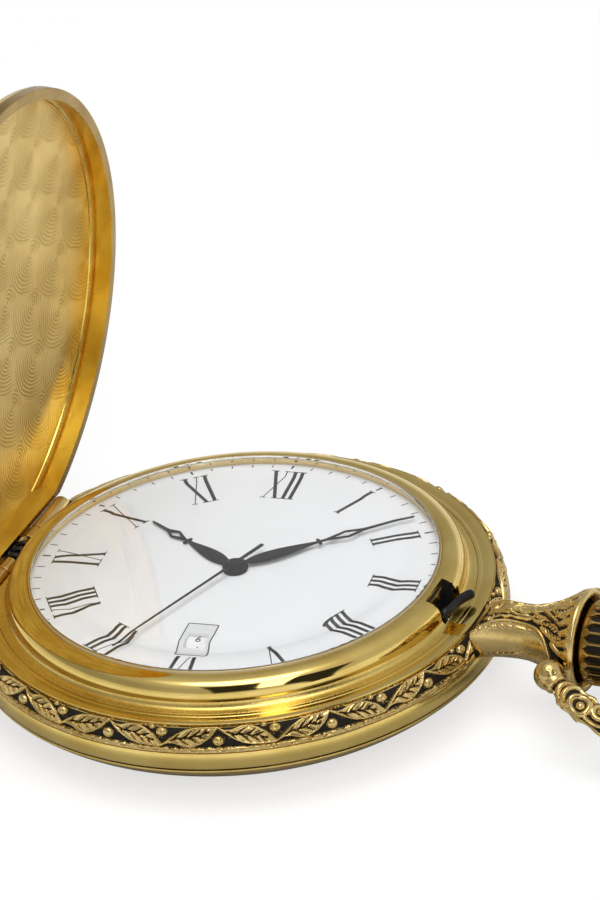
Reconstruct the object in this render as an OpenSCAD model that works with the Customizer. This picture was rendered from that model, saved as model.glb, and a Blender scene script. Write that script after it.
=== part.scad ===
// Quartz pocket watch in a hunter case, with its lid standing open.
// The back rests on z = 0, the pendant and crown point along +X and the hinge lies on the -X side.

/* [Case] */
// Radius of the dial seen inside the bezel
view_r = 18.4; // [18:0.1:19]
// Width of the polished bezel dome
dome_w = 2.05; // [1.9:0.05:2.3]
// Width of the bezel's flat foot outside its dome
foot_w = 0.95; // [0.8:0.05:1.2]
// Width of the flat land of the band round the bezel
land_w = 1.45; // [1.2:0.05:1.8]
// Width of the sloping edge between the land and the leaf band
edge_w = 1.15; // [1:0.05:1.4]
// Height of the back cover up to its seam
back_h = 4.0; // [3.8:0.1:4.4]
// Height of the plain rounded ring above the seam
belly_h = 1.4; // [1.2:0.1:1.8]
// Height of the leaf band
leaf_band_h = 2.2; // [2:0.1:2.6]
// Height of the sloping edge above the leaf band
edge_h = 0.45; // [0.3:0.05:0.6]
// Depth of the ground of the leaf band below its leaves
relief = 0.35; // [0.2:0.05:0.45]
// Leaves round the whole leaf band
leaf_count = 30; // [24:2:36]
// Wall thickness of the back cover
back_t = 0.55; // [0.4:0.05:0.7]
// Radius of the flat that the watch rests on
rest_r = 15; // [12:0.5:16]

/* [Glass and dial] */
// Height of the dial face above the flange of the case
dial_rise = 0.85; // [0.7:0.05:1]
// Height of the room for the hands between dial and glass
hand_room = 1.0; // [1:0.05:1.2]
// Thickness of the crystal
crystal_t = 0.8; // [0.6:0.05:1]
// Width of the bevel round the top of the crystal
bevel_w = 3.3; // [2.5:0.1:4]
// Thickness of the dial plate
dial_t = 0.3; // [0.2:0.05:0.35]
// Turn of the dial against the pendant
dial_turn = 6.2; // [0:0.2:8]
// Width of the date window
date_w = 1.9; // [1.6:0.1:2.1]
// Height of the date window
date_h = 1.7; // [1.5:0.1:1.8]

/* [Hands] */
// Length of the hour hand from the centre to its tip
hour_l = 11.8; // [10:0.2:12.5]
// Length of the minute hand from the centre to its tip
minute_l = 17.2; // [15:0.2:17.6]
// Length of the seconds hand from the centre to its tip
seconds_l = 16.0; // [14:0.2:17.4]
// Length of the tail of the seconds hand
tail_l = 3.9; // [3:0.1:5]
// Radius of the hubs of the hour and minute hands
hub_r = 1.15; // [1:0.05:1.3]
// Half width of the leaves of the hour and minute hands
blade_w = 0.55; // [0.4:0.05:0.65]
// Half width of a hand's stalk
stalk_w = 0.14; // [0.1:0.01:0.16]
// Clock angle of the hour hand
hour_at = 303.5; // [0:0.5:360]
// Clock angle of the minute hand
minute_at = 53.3; // [0:0.1:360]
// Clock angle of the seconds hand
seconds_at = 204.5; // [0:0.5:360]

/* [Lid] */
// Angle at which the lid stands open
lid_open = 84.3; // [75:0.5:88]
// Width of the flat face of the lid's rim
lid_rim_w = 1.0; // [0.8:0.05:1.2]
// Depth of the lid inside its rim
lid_depth = 2.0; // [1.9:0.1:2.4]
// Rise of the lid's dome inside
lid_rise = 1.5; // [1.4:0.1:2]
// Wall thickness of the lid
lid_t = 0.6; // [0.5:0.05:0.8]

/* [Hinge] */
// Radius of the hinge knuckles
knuckle_r = 0.85; // [0.8:0.05:0.95]
// Radius of the hinge pin
pin_r = 0.32; // [0.28:0.02:0.34]
// Length of each knuckle of the case
case_knuckle_l = 5.4; // [4.5:0.1:5.6]
// Length of each knuckle of the lid
lid_knuckle_l = 1.8; // [1.4:0.1:2]
// Room for the lift spring between the lid's knuckles
spring_room = 3.8; // [3.6:0.1:4.2]
// Thickness of the lift spring's wire
spring_wire = 0.5; // [0.4:0.05:0.5]
// Curls of the lift spring
spring_curls = 2.75; // [2.25:0.25:3.25]

/* [Pendant and bow] */
// Height of the stem's axis above the rest face
stem_z = 7.25; // [7.1:0.05:7.3]
// Length of the pendant from the case to its rim
pendant_l = 9.2; // [9:0.1:10]
// Radius of the pendant's neck at its narrowest
neck_r = 2.45; // [2.2:0.05:2.7]
// Outer radius of the pendant's cup at its rim
cup_r = 4.6; // [4.5:0.05:4.9]
// Radius of the crown over its flutes
crown_r = 3.75; // [3.4:0.05:3.8]
// Length of the crown
crown_l = 7.0; // [6:0.1:7.2]
// Flutes round the crown
flute_count = 24; // [18:1:26]
// Reach of the bow from its pivots to the middle of its far end
bow_reach = 14.9; // [14.9:0.1:17]
// Half width of the bow, to the middle of its wire
bow_half = 8.1; // [7.8:0.1:9]
// Half thickness of the bow
bow_t = 1.45; // [1.2:0.05:1.5]
// Half thickness of the bow's sides
bow_side_t = 1.15; // [1:0.05:1.2]
// Radius of the balls at the bow's ends
ball_r = 1.3; // [1.1:0.05:1.35]

/* [Movement] */
// Radius of the movement's main plate
plate_r = 13.6; // [13.5:0.1:14]
// Radius of the train bridge
bridge_r = 7.8; // [7.5:0.1:8]
// Width of the date ring
ring_w = 2.25; // [2.1:0.05:2.3]
// Thickness of the date ring
ring_t = 0.2; // [0.18:0.01:0.22]
// Radius of the battery
battery_r = 3.4; // [2.9:0.1:3.45]
// Thickness of the battery
battery_t = 2.6; // [2:0.1:2.7]

/* [Play] */
// Radial play of a shaft in its hole
play = 0.05; // [0.03:0.01:0.06]
// Gap between pieces that pass each other
gap = 0.1; // [0.08:0.01:0.12]
// Travel of the crown when it is pressed to open the lid
press_travel = 0.6; // [0.4:0.05:0.6]

/* [Hidden] */

// Colours
gold = [0.80, 0.64, 0.30];
dark_gold = [0.62, 0.47, 0.18];
pale_gold = [0.84, 0.74, 0.46];
black_steel = [0.10, 0.10, 0.11];
dark_grey = [0.16, 0.16, 0.17];
white = [0.93, 0.93, 0.94];
brass = [0.78, 0.66, 0.36];
steel = [0.70, 0.71, 0.73];
copper = [0.72, 0.40, 0.22];
plastic = [0.86, 0.86, 0.82];

// Smoothness of large, small and bent parts
$fn = 96;
fine = 48;
steps = 10;

// Radii of the rings of the case, from the dial outwards
dome_r = view_r + dome_w;
foot_r = dome_r + foot_w;
land_r = foot_r + land_w;
case_r = land_r + edge_w;
bore_r = foot_r - 0.4;
ground_r = case_r - relief;

// Heights of the rings of the case
belly_z = back_h + belly_h;
leaf_z = belly_z + leaf_band_h;
flange_z = leaf_z + edge_h;
dial_z = flange_z + dial_rise;
glass_z = dial_z + hand_room;
glass_top = glass_z + crystal_t;
foot_t = 0.35;
crest_z = glass_top - 0.43;
crest_r = view_r + 0.25;
sunk_z = flange_z - 0.85;

// Dial and what lies under it
dial_r = view_r + 0.6;
dial_back = dial_z - dial_t;
seat_r = dial_r + 0.25;
ring_z = dial_back - 0.06 - ring_t;
plate_top = ring_z - gap;
plate_floor = dial_z - 2.0;
plate_back = dial_z - 3.0;
ring_out = plate_r - 1.1;
ring_in = ring_out - ring_w;
ring_tooth = 0.3;
ring_step = ring_in + 0.35;
tooth_t = ring_t / 2;
date_r = (ring_step + ring_out) / 2;
guard_z = ring_z + tooth_t + 0.03;
guard_t = 0.1;
guard_head_t = 0.02;
well_r = ring_in - ring_tooth - 0.2;

// Heights of the hands
hour_z = dial_z + 0.15;
hour_t = 0.14;
minute_z = hour_z + hour_t + 0.12;
minute_t = 0.12;
seconds_z = minute_z + minute_t + 0.14;
seconds_t = 0.08;
hub_cap = 0.12;

// Lid and hinge, with the lid drawn closed and then opened
hinge_x = -(dome_r + 1.0);
hinge_z = flange_z - 0.35;
lid_z = flange_z + 0.35;
lid_in = foot_r + 0.9;
lid_out = lid_in + lid_rim_w;
chord_x = -(dome_r - 0.1);
chord_t = 0.6;
hinge_half = spring_room / 2 + lid_knuckle_l + gap + case_knuckle_l;
knuckle_play = knuckle_r + gap;
hinge_cut_x = hinge_x + knuckle_play;

// Stem line, pendant and bow
pendant_x = case_r + pendant_l;
pivot_x = pendant_x - 1.5;
pivot_y = cup_r + ball_r + 0.1;
cup_floor = pendant_x - 2.3;
cup_in = cup_r - 0.6;
crown_x = cup_floor + 0.3 + press_travel;
crown_end = crown_x + crown_l;
sleeve_x = case_r + 1.0;
sleeve_r = 1.15;
nose_r = 0.43;
stem_r = 0.25;
stem_tip = 10.5;
bow_drop = asin((stem_z - bow_t) / bow_reach);
bow_end_x = bow_reach - bow_half;
bow_rise = bow_half - pivot_y;
bow_side_r = (bow_end_x * bow_end_x + bow_rise * bow_rise) / (2 * bow_rise);
bow_side_a = asin(bow_end_x / bow_side_r);
bow_pin_r = 0.45;

// Catch that holds the lid, moved by the crown
notch_x = dome_r - 1.5;
notch_half = 1.95;
catch_x = notch_x + press_travel + 0.1;
catch_wire = 0.42;
catch_z = flange_z + 0.7;

// Gear trains: teeth, module and places of the axes
motion_m = 0.125;
cannon_teeth = 12;
minute_teeth = 36;
hour_m = 0.12;
minute_pinion_teeth = 10;
hour_teeth = 40;
date_m = 0.13;
date_pinion_teeth = 20;
idler_teeth = 24;
driver_teeth = 40;
rotor_m = 0.13;
rotor_teeth = 8;
fifth_teeth = 48;
fifth_m = 0.16;
fifth_pinion_teeth = 8;
seconds_teeth = 40;
third_m = 0.11118;
seconds_pinion_teeth = 8;
third_teeth = 60;
centre_m = 0.105;
third_pinion_teeth = 8;
centre_teeth = 64;
date_teeth = 31;
minute_dir = 150;
idler_dir = -60;
driver_dir = -35;
third_dir = -100;
fifth_dir = 35;
rotor_dir = 10;
function polar(r, a) = [r * cos(a), r * sin(a)];
minute_axis = polar(motion_m * (cannon_teeth + minute_teeth) / 2, minute_dir);
idler_axis = polar(date_m * (date_pinion_teeth + idler_teeth) / 2, idler_dir);
driver_axis = idler_axis + polar(date_m * (idler_teeth + driver_teeth) / 2, driver_dir);
third_axis = polar(third_m * (seconds_pinion_teeth + third_teeth) / 2, third_dir);
fifth_axis = polar(fifth_m * (fifth_pinion_teeth + seconds_teeth) / 2, fifth_dir);
rotor_axis = fifth_axis + polar(rotor_m * (rotor_teeth + fifth_teeth) / 2, rotor_dir);

// Turn of a gear whose gap meets the tooth of a neighbour that is turned by from, in direction dir
function mesh_turn(teeth, other, dir, from) = dir + 180 + 180 / teeth + (dir - from) * other / teeth;
minute_turn = mesh_turn(minute_teeth, cannon_teeth, minute_dir, 0);
hour_turn = mesh_turn(hour_teeth, minute_pinion_teeth, minute_dir + 180, minute_turn);
idler_turn = mesh_turn(idler_teeth, date_pinion_teeth, idler_dir, hour_turn);
driver_turn = mesh_turn(driver_teeth, idler_teeth, driver_dir, idler_turn);
third_turn = mesh_turn(third_teeth, seconds_pinion_teeth, third_dir, 0);
centre_turn = mesh_turn(centre_teeth, third_pinion_teeth, third_dir + 180, third_turn);
fifth_turn = mesh_turn(fifth_pinion_teeth, seconds_teeth, fifth_dir, 0);
rotor_turn = mesh_turn(rotor_teeth, fifth_teeth, rotor_dir, fifth_turn);

// Levels of the train under the main plate, counted down from it
centre_level = plate_back - 0.22;
seconds_level = plate_back - 0.6;
fifth_level = plate_back - 0.95;
third_level = plate_back - 1.35;
bridge_top = plate_back - 1.6;
bridge_t = 0.35;
bridge_back = bridge_top - bridge_t;
arbor_r = 0.15;
seconds_arbor_r = 0.2;
cannon_bore = seconds_arbor_r + play;
cannon_r = 0.5;
hour_bore = cannon_r + play;
hour_tube_r = 0.8;

// Places on the movement
battery_at = polar(plate_r - battery_r - 1.5, 140);
pillars = [[4.2, -4.8], [1.0, 6.7], [-4.5, 0.9]];
pillar_r = 0.8;
guard_posts = [[-6.5, -5.0], [-3.0, 7.6], [6.5, 5.5]];
post_r = 0.7;
screw_r = 0.35;
screw_head_r = 0.62;
stator_r = 2.0;
coil_r = 0.68;
coil_x = rotor_axis[0] + stator_r + coil_r + gap;
coil_y = [-3.6, plate_r - 6];
can_at = [-(plate_r - 5), -2.6];
can_r = 0.75;
can_l = 4.8;

// Points on a bend from p0 to p2 that leaves towards p1
function bend(p0, p1, p2, n = steps) =
    [for (i = [0:n]) let (t = i / n) p0 * (1 - t) * (1 - t) + p1 * 2 * t * (1 - t) + p2 * t * t];

// Outline of a gear with straight-sided teeth
function gear_outline(teeth, m) = [
    for (i = [0:teeth - 1])
        for (side = [[-1.15, -0.27], [0.8, -0.11], [0.8, 0.11], [-1.15, 0.27]])
            polar(m * (teeth / 2 + side[0]), (i + side[1]) * 360 / teeth)
];

module gear(teeth, m, t, turn = 0) {
    rotate([0, 0, turn])
        linear_extrude(t)
            polygon(gear_outline(teeth, m));
}

module rod(r, z0, z1) {
    translate([0, 0, z0])
        cylinder(r = r, h = z1 - z0, $fn = fine);
}

// Cylinder along X on the stem's axis
module stem_rod(r, x0, x1) {
    translate([x0, 0, stem_z])
        rotate([0, 90, 0])
            cylinder(r = r, h = x1 - x0, $fn = fine);
}

// Solid of revolution about the stem's axis, from points of [x, radius]
module stem_turned(points) {
    translate([0, 0, stem_z])
        rotate([0, 90, 0])
            rotate_extrude()
                polygon([for (p = points) [p[1], p[0]]]);
}

// Cylinder along Y at the hinge, between two values of y
module hinge_rod(r, y0, y1) {
    translate([hinge_x, y1, hinge_z])
        rotate([90, 0, 0])
            cylinder(r = r, h = y1 - y0, $fn = fine);
}

// Case

leaf_l = 4.3;
leaf_half = 0.62;
leaf_tilt = 17;
bead_r = 0.5;
bead_shift = 0.5;

function leaf_side(s) = [
    for (i = [0:8])
        let (t = i / 8)
        [leaf_l * (t - 0.5), s * leaf_half * sin(180 * pow(t, 0.85))]
];

module leaf() {
    polygon(concat(leaf_side(1), [for (i = [7:-1:1]) leaf_side(-1)[i]]));
}

// A place on the leaf band is free where neither pendant nor hinge cuts it
function band_free(a) =
    abs(case_r * sin(a)) > (cos(a) > 0 ? neck_r + 2.2 : hinge_half + 1.2);

module band_ornament() {
    mid_z = (belly_z + leaf_z) / 2;
    for (i = [0:leaf_count - 1]) {
        a = 360 * (i + 0.5) / leaf_count;
        side = i % 2 == 0 ? 1 : -1;
        if (band_free(a))
            rotate([0, 0, a])
                translate([ground_r - 0.2, 0, mid_z])
                    rotate([90, 0, 90]) {
                        rotate(side * leaf_tilt)
                            linear_extrude(relief + 0.12)
                                leaf();
                        translate([case_r * PI / leaf_count, -side * bead_shift, 0])
                            cylinder(r = bead_r, h = relief + 0.16, $fn = 24);
                    }
    }
}

// Outline of the band's outside, as [radius, z]
function band_outside() = concat(
    bend([case_r - 0.15, back_h], [case_r + 0.3, back_h + belly_h * 0.5], [case_r - 0.1, belly_z]),
    [[ground_r, belly_z + 0.1], [ground_r, leaf_z - 0.1], [case_r - 0.05, leaf_z], [land_r, flange_z]]
);

module band_blank() {
    rotate_extrude()
        polygon(concat(
            [[bore_r, back_h]],
            band_outside(),
            [[foot_r + 0.02, flange_z], [foot_r + 0.02, flange_z - foot_t], [bore_r, flange_z - foot_t]]
        ));
}

module hinge_cut(top) {
    translate([-case_r - 2, -hinge_half - gap, hinge_z - knuckle_play])
        cube([case_r + 2 + hinge_cut_x, 2 * (hinge_half + gap), top - hinge_z + knuckle_play]);
}

module catch_slot() {
    translate([foot_r - 0.5, -3.3, flange_z - 0.7])
        cube([1.5, 1.9, 1]);
}

module case_band() {
    color(gold) {
        difference() {
            union() {
                band_blank();
                band_ornament();
            }
            hinge_cut(flange_z + 1);
            catch_slot();
            stem_rod(nose_r + play, bore_r - 1, case_r + 1);
        }
        for (side = [-1, 1])
            case_knuckle(side);
    }
}

// Knuckle of the case with the web that carries it on the band
module case_knuckle(side) {
    y0 = side > 0 ? hinge_half - case_knuckle_l : -hinge_half;
    web_bottom = hinge_z - knuckle_play;
    difference() {
        union() {
            hinge_rod(knuckle_r, y0, y0 + case_knuckle_l);
            translate([hinge_x - knuckle_r, y0, web_bottom])
                cube([2 * knuckle_r, case_knuckle_l, knuckle_play]);
        }
        hinge_rod(pin_r + 0.01, -hinge_half - 1, hinge_half + 1);
    }
}

module back_cover() {
    side_z = back_h - 0.5;
    color(gold)
        rotate_extrude()
            polygon(concat(
                [[0, 0]],
                bend([rest_r, 0], [(rest_r + case_r) / 2 + 1.0, 0.25], [case_r - 0.35, side_z]),
                [[case_r - 0.1, back_h - 0.1], [case_r - 0.2, back_h - 0.02]],
                [[bore_r + 0.9, back_h - 0.02], [bore_r + 0.9, back_h - 0.4], [bore_r + 0.2, back_h - 0.4]],
                [[bore_r + 0.2, back_h], [bore_r - 0.04, back_h], [bore_r - 0.04, back_h + 0.7]],
                [[bore_r - 0.8, back_h + 0.7], [bore_r - 0.8, back_h - 0.9]],
                bend([bore_r - 1.2, back_h - 2.1], [(rest_r + bore_r) / 2, back_t + 0.1],
                     [rest_r - 0.2, back_t]),
                [[0, back_t]]
            ));
}

module back_gasket() {
    color(black_steel)
        rotate_extrude()
            translate([bore_r + 0.21, back_h - 0.39])
                square([0.68, 0.37]);
}

module notch() {
    translate([notch_x, -notch_half, sunk_z - 1])
        cube([dome_r + 0.2 - notch_x, 2 * notch_half, crest_z - sunk_z + 2]);
    translate([notch_x, -notch_half, sunk_z - 1])
        cube([bore_r + 0.2 - notch_x, 2 * notch_half, flange_z - foot_t - sunk_z + 1]);
}

module bezel() {
    color(gold)
        difference() {
            rotate_extrude()
                polygon(concat(
                    [[seat_r, sunk_z], [seat_r, glass_z - 0.15]],
                    [[view_r, glass_z - 0.15], [view_r, crest_z - 0.1]],
                    bend([crest_r, crest_z], [dome_r - 0.25, crest_z - 0.15],
                         [dome_r - 0.22, flange_z + 0.4]),
                    [[dome_r, flange_z], [foot_r, flange_z], [foot_r, flange_z - foot_t]],
                    [[bore_r - 0.03, flange_z - foot_t], [bore_r - 0.03, sunk_z]]
                ));
            notch();
            hinge_cut(flange_z + 0.3);
            catch_slot();
        }
}

module crystal() {
    r = view_r - 0.2;
    edge_t = crystal_t * 0.45;
    color([0.85, 0.90, 0.93, 0.35])
        rotate_extrude()
            polygon([
                [0, glass_z], [r, glass_z], [r, glass_z + edge_t],
                [view_r - bevel_w - 0.2, glass_top], [0, glass_top]
            ]);
}

module crystal_gasket() {
    color(pale_gold)
        rotate_extrude()
            translate([view_r - 0.19, glass_z - 0.14])
                square([0.18, 0.5]);
}

module rehaut_ring() {
    color(pale_gold)
        rotate_extrude()
            polygon([
                [view_r + 0.1, dial_z], [dial_r + 0.2, dial_z],
                [dial_r + 0.2, glass_z - 0.16], [view_r - 0.1, glass_z - 0.16]
            ]);
}

// Dial and its window

module date_window() {
    rotate([0, 0, dial_turn])
        translate([-date_w / 2, -date_r - date_h / 2])
            square([date_w, date_h]);
}

dial_feet_r = plate_r - 0.45;
foot_pin_r = 0.25;

module dial() {
    color(white) {
        translate([0, 0, dial_back])
            linear_extrude(dial_t)
                difference() {
                    circle(r = dial_r);
                    circle(r = hour_tube_r + 0.3, $fn = fine);
                    date_window();
                }
        for (a = [60, 240])
            rotate([0, 0, a + dial_turn])
                translate([dial_feet_r, 0, 0])
                    rod(foot_pin_r, dial_back - 0.8, dial_back);
    }
}

module date_frame() {
    above = 1.5;
    below = 1.05;
    color(white)
        translate([0, 0, dial_z])
            linear_extrude(0.08)
                difference() {
                    rotate([0, 0, dial_turn])
                        translate([-date_w / 2 - 0.5, -date_r - date_h / 2 - below])
                            square([date_w + 1, date_h + above + below]);
                    date_window();
                }
}

// Hands, drawn along +X and turned to their clock angle

function clock_turn(a) = 90 - a + dial_turn;

// One side of a hand's outline: leaf, cross nubs, open diamond and thin tip
function hand_side(len, leaf_end, gem_start, gem_end, half) = concat(
    [for (i = [0:steps])
        let (t = i / steps)
        [hub_r * 0.8 + (leaf_end - hub_r * 0.8) * t, stalk_w + half * sin(180 * pow(t, 1.4))]],
    [[leaf_end, blade_w], [leaf_end + 0.3, blade_w], [leaf_end + 0.3, stalk_w], [gem_start, stalk_w]],
    [[(gem_start + gem_end) / 2, 0.6 * half + 0.3], [gem_end, stalk_w], [len, 0.04]]
);

// Flat hand with its hub, its bore and the opening of its diamond
module hand(t, bore, len, leaf_end, gem_start, gem_end, half) {
    side = hand_side(len, leaf_end, gem_start, gem_end, half);
    gem_half = 0.6 * half + 0.08;
    difference() {
        union() {
            rod(hub_r, 0, t);
            linear_extrude(t)
                polygon(concat(side, [for (i = [len(side) - 1:-1:0]) [side[i][0], -side[i][1]]]));
        }
        rod(bore, -1, t + 1);
        translate([0, 0, -1])
            linear_extrude(t + 2)
                polygon([
                    [gem_start + 0.45, 0], [(gem_start + gem_end) / 2, gem_half],
                    [gem_end - 0.45, 0], [(gem_start + gem_end) / 2, -gem_half]
                ]);
    }
}

module hour_hand() {
    color(dark_grey)
        translate([0, 0, hour_z])
            rotate([0, 0, clock_turn(hour_at)])
                hand(hour_t, hour_tube_r, hour_l, hour_l * 0.56, hour_l * 0.61, hour_l * 0.79, blade_w);
}

module minute_hand() {
    color(dark_grey)
        translate([0, 0, minute_z])
            rotate([0, 0, clock_turn(minute_at)])
                hand(minute_t, cannon_r, minute_l, minute_l * 0.47, minute_l * 0.53, minute_l * 0.715,
                     blade_w + 0.05);
}

module seconds_hand() {
    tail_end = [-tail_l + 0.3, 0];
    color(dark_grey)
        translate([0, 0, seconds_z])
            rotate([0, 0, clock_turn(seconds_at)])
                difference() {
                    union() {
                        rod(0.75, 0, seconds_t);
                        linear_extrude(seconds_t)
                            polygon([
                                tail_end + [0, 2 * stalk_w], [0, stalk_w], [seconds_l, 0.06],
                                [seconds_l, -0.06], [0, -stalk_w], tail_end - [0, 2 * stalk_w]
                            ]);
                        translate(tail_end)
                            rod(0.34, 0, seconds_t);
                    }
                    rod(seconds_arbor_r, -1, seconds_t + 1);
                }
}

// Motion work under the dial

module cannon_pinion() {
    low = plate_floor + 0.08;
    color(steel)
        difference() {
            union() {
                rod(cannon_r, low, minute_z + minute_t);
                translate([0, 0, low])
                    gear(cannon_teeth, motion_m, hour_level - low - 0.04);
            }
            rod(cannon_bore, low - 1, minute_z + 1);
        }
}

wheel_t = 0.16;
minute_level = plate_floor + 0.12;
hour_level = minute_level + wheel_t + 0.1;
date_level = hour_level + wheel_t + 0.1;

module minute_wheel() {
    color(brass)
        translate([minute_axis[0], minute_axis[1], 0])
            difference() {
                union() {
                    translate([0, 0, minute_level])
                        gear(minute_teeth, motion_m, wheel_t, minute_turn);
                    translate([0, 0, minute_level])
                        gear(minute_pinion_teeth, hour_m, wheel_t + 0.4, minute_turn);
                }
                rod(0.25 + play, minute_level - 1, date_level + 1);
            }
}

module hour_wheel() {
    color(brass)
        difference() {
            union() {
                translate([0, 0, hour_level])
                    gear(hour_teeth, hour_m, wheel_t, hour_turn);
                translate([0, 0, hour_level])
                    gear(date_pinion_teeth, date_m, date_level + wheel_t - hour_level, hour_turn);
                rod(hour_tube_r, hour_level, hour_z + hour_t);
            }
            rod(hour_bore, hour_level - 1, hour_z + 1);
        }
}

module date_idler() {
    color(brass)
        translate([idler_axis[0], idler_axis[1], 0])
            difference() {
                translate([0, 0, date_level])
                    gear(idler_teeth, date_m, wheel_t, idler_turn);
                rod(0.3 + play, date_level - 1, date_level + 1);
            }
}

finger_l = ring_in - ring_tooth - gap - norm(driver_axis);

module date_driver() {
    color(brass)
        translate([driver_axis[0], driver_axis[1], 0])
            difference() {
                union() {
                    translate([0, 0, date_level])
                        gear(driver_teeth, date_m, wheel_t, driver_turn);
                    rod(0.7, date_level, ring_z + tooth_t);
                    translate([0, 0, ring_z])
                        linear_extrude(tooth_t)
                            polygon([[-0.3, -0.4], [0.3, -0.4], [0.2, -finger_l], [-0.2, -finger_l]]);
                }
                rod(0.3 + play, date_level - 1, ring_z + 1);
            }
}

// Ring of the date figures, thinner at its teeth, where the calendar plate holds it down
module date_ring() {
    color(white)
        translate([0, 0, ring_z])
            difference() {
                rod(ring_out, 0, ring_t);
                rod(ring_step, tooth_t, ring_t + 1);
                translate([0, 0, -1])
                    linear_extrude(ring_t + 2)
                        polygon([
                            for (i = [0:date_teeth - 1])
                                for (side = [[0, -0.3], [ring_tooth, -0.15], [ring_tooth, 0.15], [0, 0.3]])
                                    polar(ring_in - ring_tooth + side[0], (i + side[1]) * 360 / date_teeth)
                        ]);
            }
}

// Plates and fixed parts of the movement

module posts(places, r, z0, z1) {
    for (p = places)
        translate([p[0], p[1], 0])
            rod(r, z0, z1);
}

module main_plate() {
    clutch_room = 0.85;
    color(brass)
        difference() {
            union() {
                difference() {
                    rod(plate_r, plate_back, dial_back);
                    rod(ring_out + 0.2, plate_top, dial_back + 1);
                    rod(well_r, plate_floor, dial_back + 1);
                }
                posts(guard_posts, post_r, plate_floor - 0.1, guard_z);
                posts([minute_axis], 0.25, plate_floor - 0.1, hour_level + 0.1);
                posts([idler_axis], 0.3, plate_floor - 0.1, date_level + wheel_t);
                posts([driver_axis], 0.3, plate_floor - 0.1, guard_z);
                posts(pillars, pillar_r, bridge_top, plate_back + 0.1);
            }
            rod(cannon_r + play, plate_back - 1, plate_floor + 1);
            posts(guard_posts, screw_r, guard_z - 0.9, guard_z + 1);
            posts(pillars, screw_r, bridge_top - 1, bridge_top + 1.2);
            for (a = [60, 240])
                rotate([0, 0, a + dial_turn])
                    translate([dial_feet_r, 0, 0])
                        rod(foot_pin_r + 0.03, dial_back - 0.85, dial_back + 1);
            stem_rod(stem_r + play, stem_tip - 3, plate_r + 1);
            translate([stem_tip - 0.2, -clutch_room, stem_z - clutch_room])
                cube([2.3, 2 * clutch_room, plate_top + 1 - stem_z + clutch_room]);
            for (p = [third_axis, fifth_axis, rotor_axis])
                translate([p[0], p[1], 0])
                    rod(arbor_r + 0.03, plate_back - 1, plate_back + 0.35);
        }
}

module calendar_plate() {
    color(steel)
        translate([0, 0, guard_z])
            linear_extrude(guard_t)
                difference() {
                    circle(r = ring_in + 0.2);
                    circle(r = hour_tube_r + 0.2, $fn = fine);
                    for (p = guard_posts)
                        translate(p)
                            circle(r = screw_r, $fn = fine);
                }
}

module train_bridge() {
    color(brass)
        translate([0, 0, bridge_back])
            linear_extrude(bridge_t)
                difference() {
                    translate([0.8, 1.0])
                        circle(r = bridge_r);
                    translate(battery_at)
                        circle(r = battery_r + 0.9);
                    for (p = pillars)
                        translate(p)
                            circle(r = screw_r, $fn = fine);
                    circle(r = seconds_arbor_r + play, $fn = fine);
                    for (p = [third_axis, fifth_axis, rotor_axis])
                        translate(p)
                            circle(r = arbor_r + play, $fn = fine);
                }
}

module movement_screws() {
    color(steel) {
        posts(pillars, screw_r, bridge_back - 0.3, bridge_top + 1.1);
        posts(pillars, screw_head_r, bridge_back - 0.35, bridge_back);
        posts(guard_posts, screw_r, guard_z - 0.8, guard_z + guard_t);
        posts(guard_posts, screw_head_r, guard_z + guard_t, guard_z + guard_t + guard_head_t);
    }
}

module circuit_board() {
    color([0.10, 0.35, 0.20])
        translate([0, 0, plate_back - 0.4])
            linear_extrude(0.4)
                difference() {
                    intersection() {
                        circle(r = plate_r - 0.6);
                        translate([-14, -9])
                            square([8.4, 10.2]);
                    }
                    translate(battery_at)
                        circle(r = battery_r + 0.2);
                }
}

module quartz_can() {
    color(steel)
        translate([can_at[0], can_at[1] - can_l / 2, plate_back - 0.4 - can_r - 0.02])
            rotate([-90, 0, 0])
                cylinder(r = can_r, h = can_l, $fn = fine);
}

module stator() {
    low = plate_back - 0.55;
    color(steel)
        translate([0, 0, low])
            linear_extrude(0.42)
                difference() {
                    union() {
                        translate(rotor_axis)
                            circle(r = stator_r);
                        translate([rotor_axis[0] - 0.6, coil_y[0] - 0.5])
                            square([1.2, coil_y[1] - coil_y[0] + 1.0]);
                        for (y = coil_y)
                            translate([rotor_axis[0] - 0.6, y - 0.5])
                                square([coil_x - rotor_axis[0] + 1.1, 1.0]);
                    }
                    translate(rotor_axis)
                        circle(r = 1.4, $fn = fine);
                }
}

module drive_coil() {
    low = plate_back - 0.55;
    color(copper) {
        translate([coil_x - 0.5, coil_y[0] - 0.5, low - 0.32])
            cube([1.0, coil_y[1] - coil_y[0] + 1.0, 0.3]);
        translate([coil_x, coil_y[0] + 0.8, low - 0.17])
            rotate([-90, 0, 0])
                cylinder(r = coil_r, h = coil_y[1] - coil_y[0] - 1.6, $fn = fine);
    }
}

module battery() {
    color(steel)
        translate([battery_at[0], battery_at[1], 0]) {
            rod(battery_r, plate_back - 0.02 - battery_t * 0.85, plate_back - 0.02);
            rod(battery_r - 0.5, plate_back - 0.02 - battery_t, plate_back - 0.02);
        }
}

module battery_clamp() {
    under = plate_back - 0.02 - battery_t;
    color(steel)
        translate([battery_at[0], battery_at[1], 0]) {
            translate([-0.9, -battery_r - 0.6, under - 0.2])
                cube([1.8, 2 * battery_r + 1.2, 0.2]);
            for (side = [-1, 1])
                translate([-0.9, side * (battery_r + 0.4) - 0.2, under - 0.2])
                    cube([1.8, 0.4, plate_back - under + 0.2]);
        }
}

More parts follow.
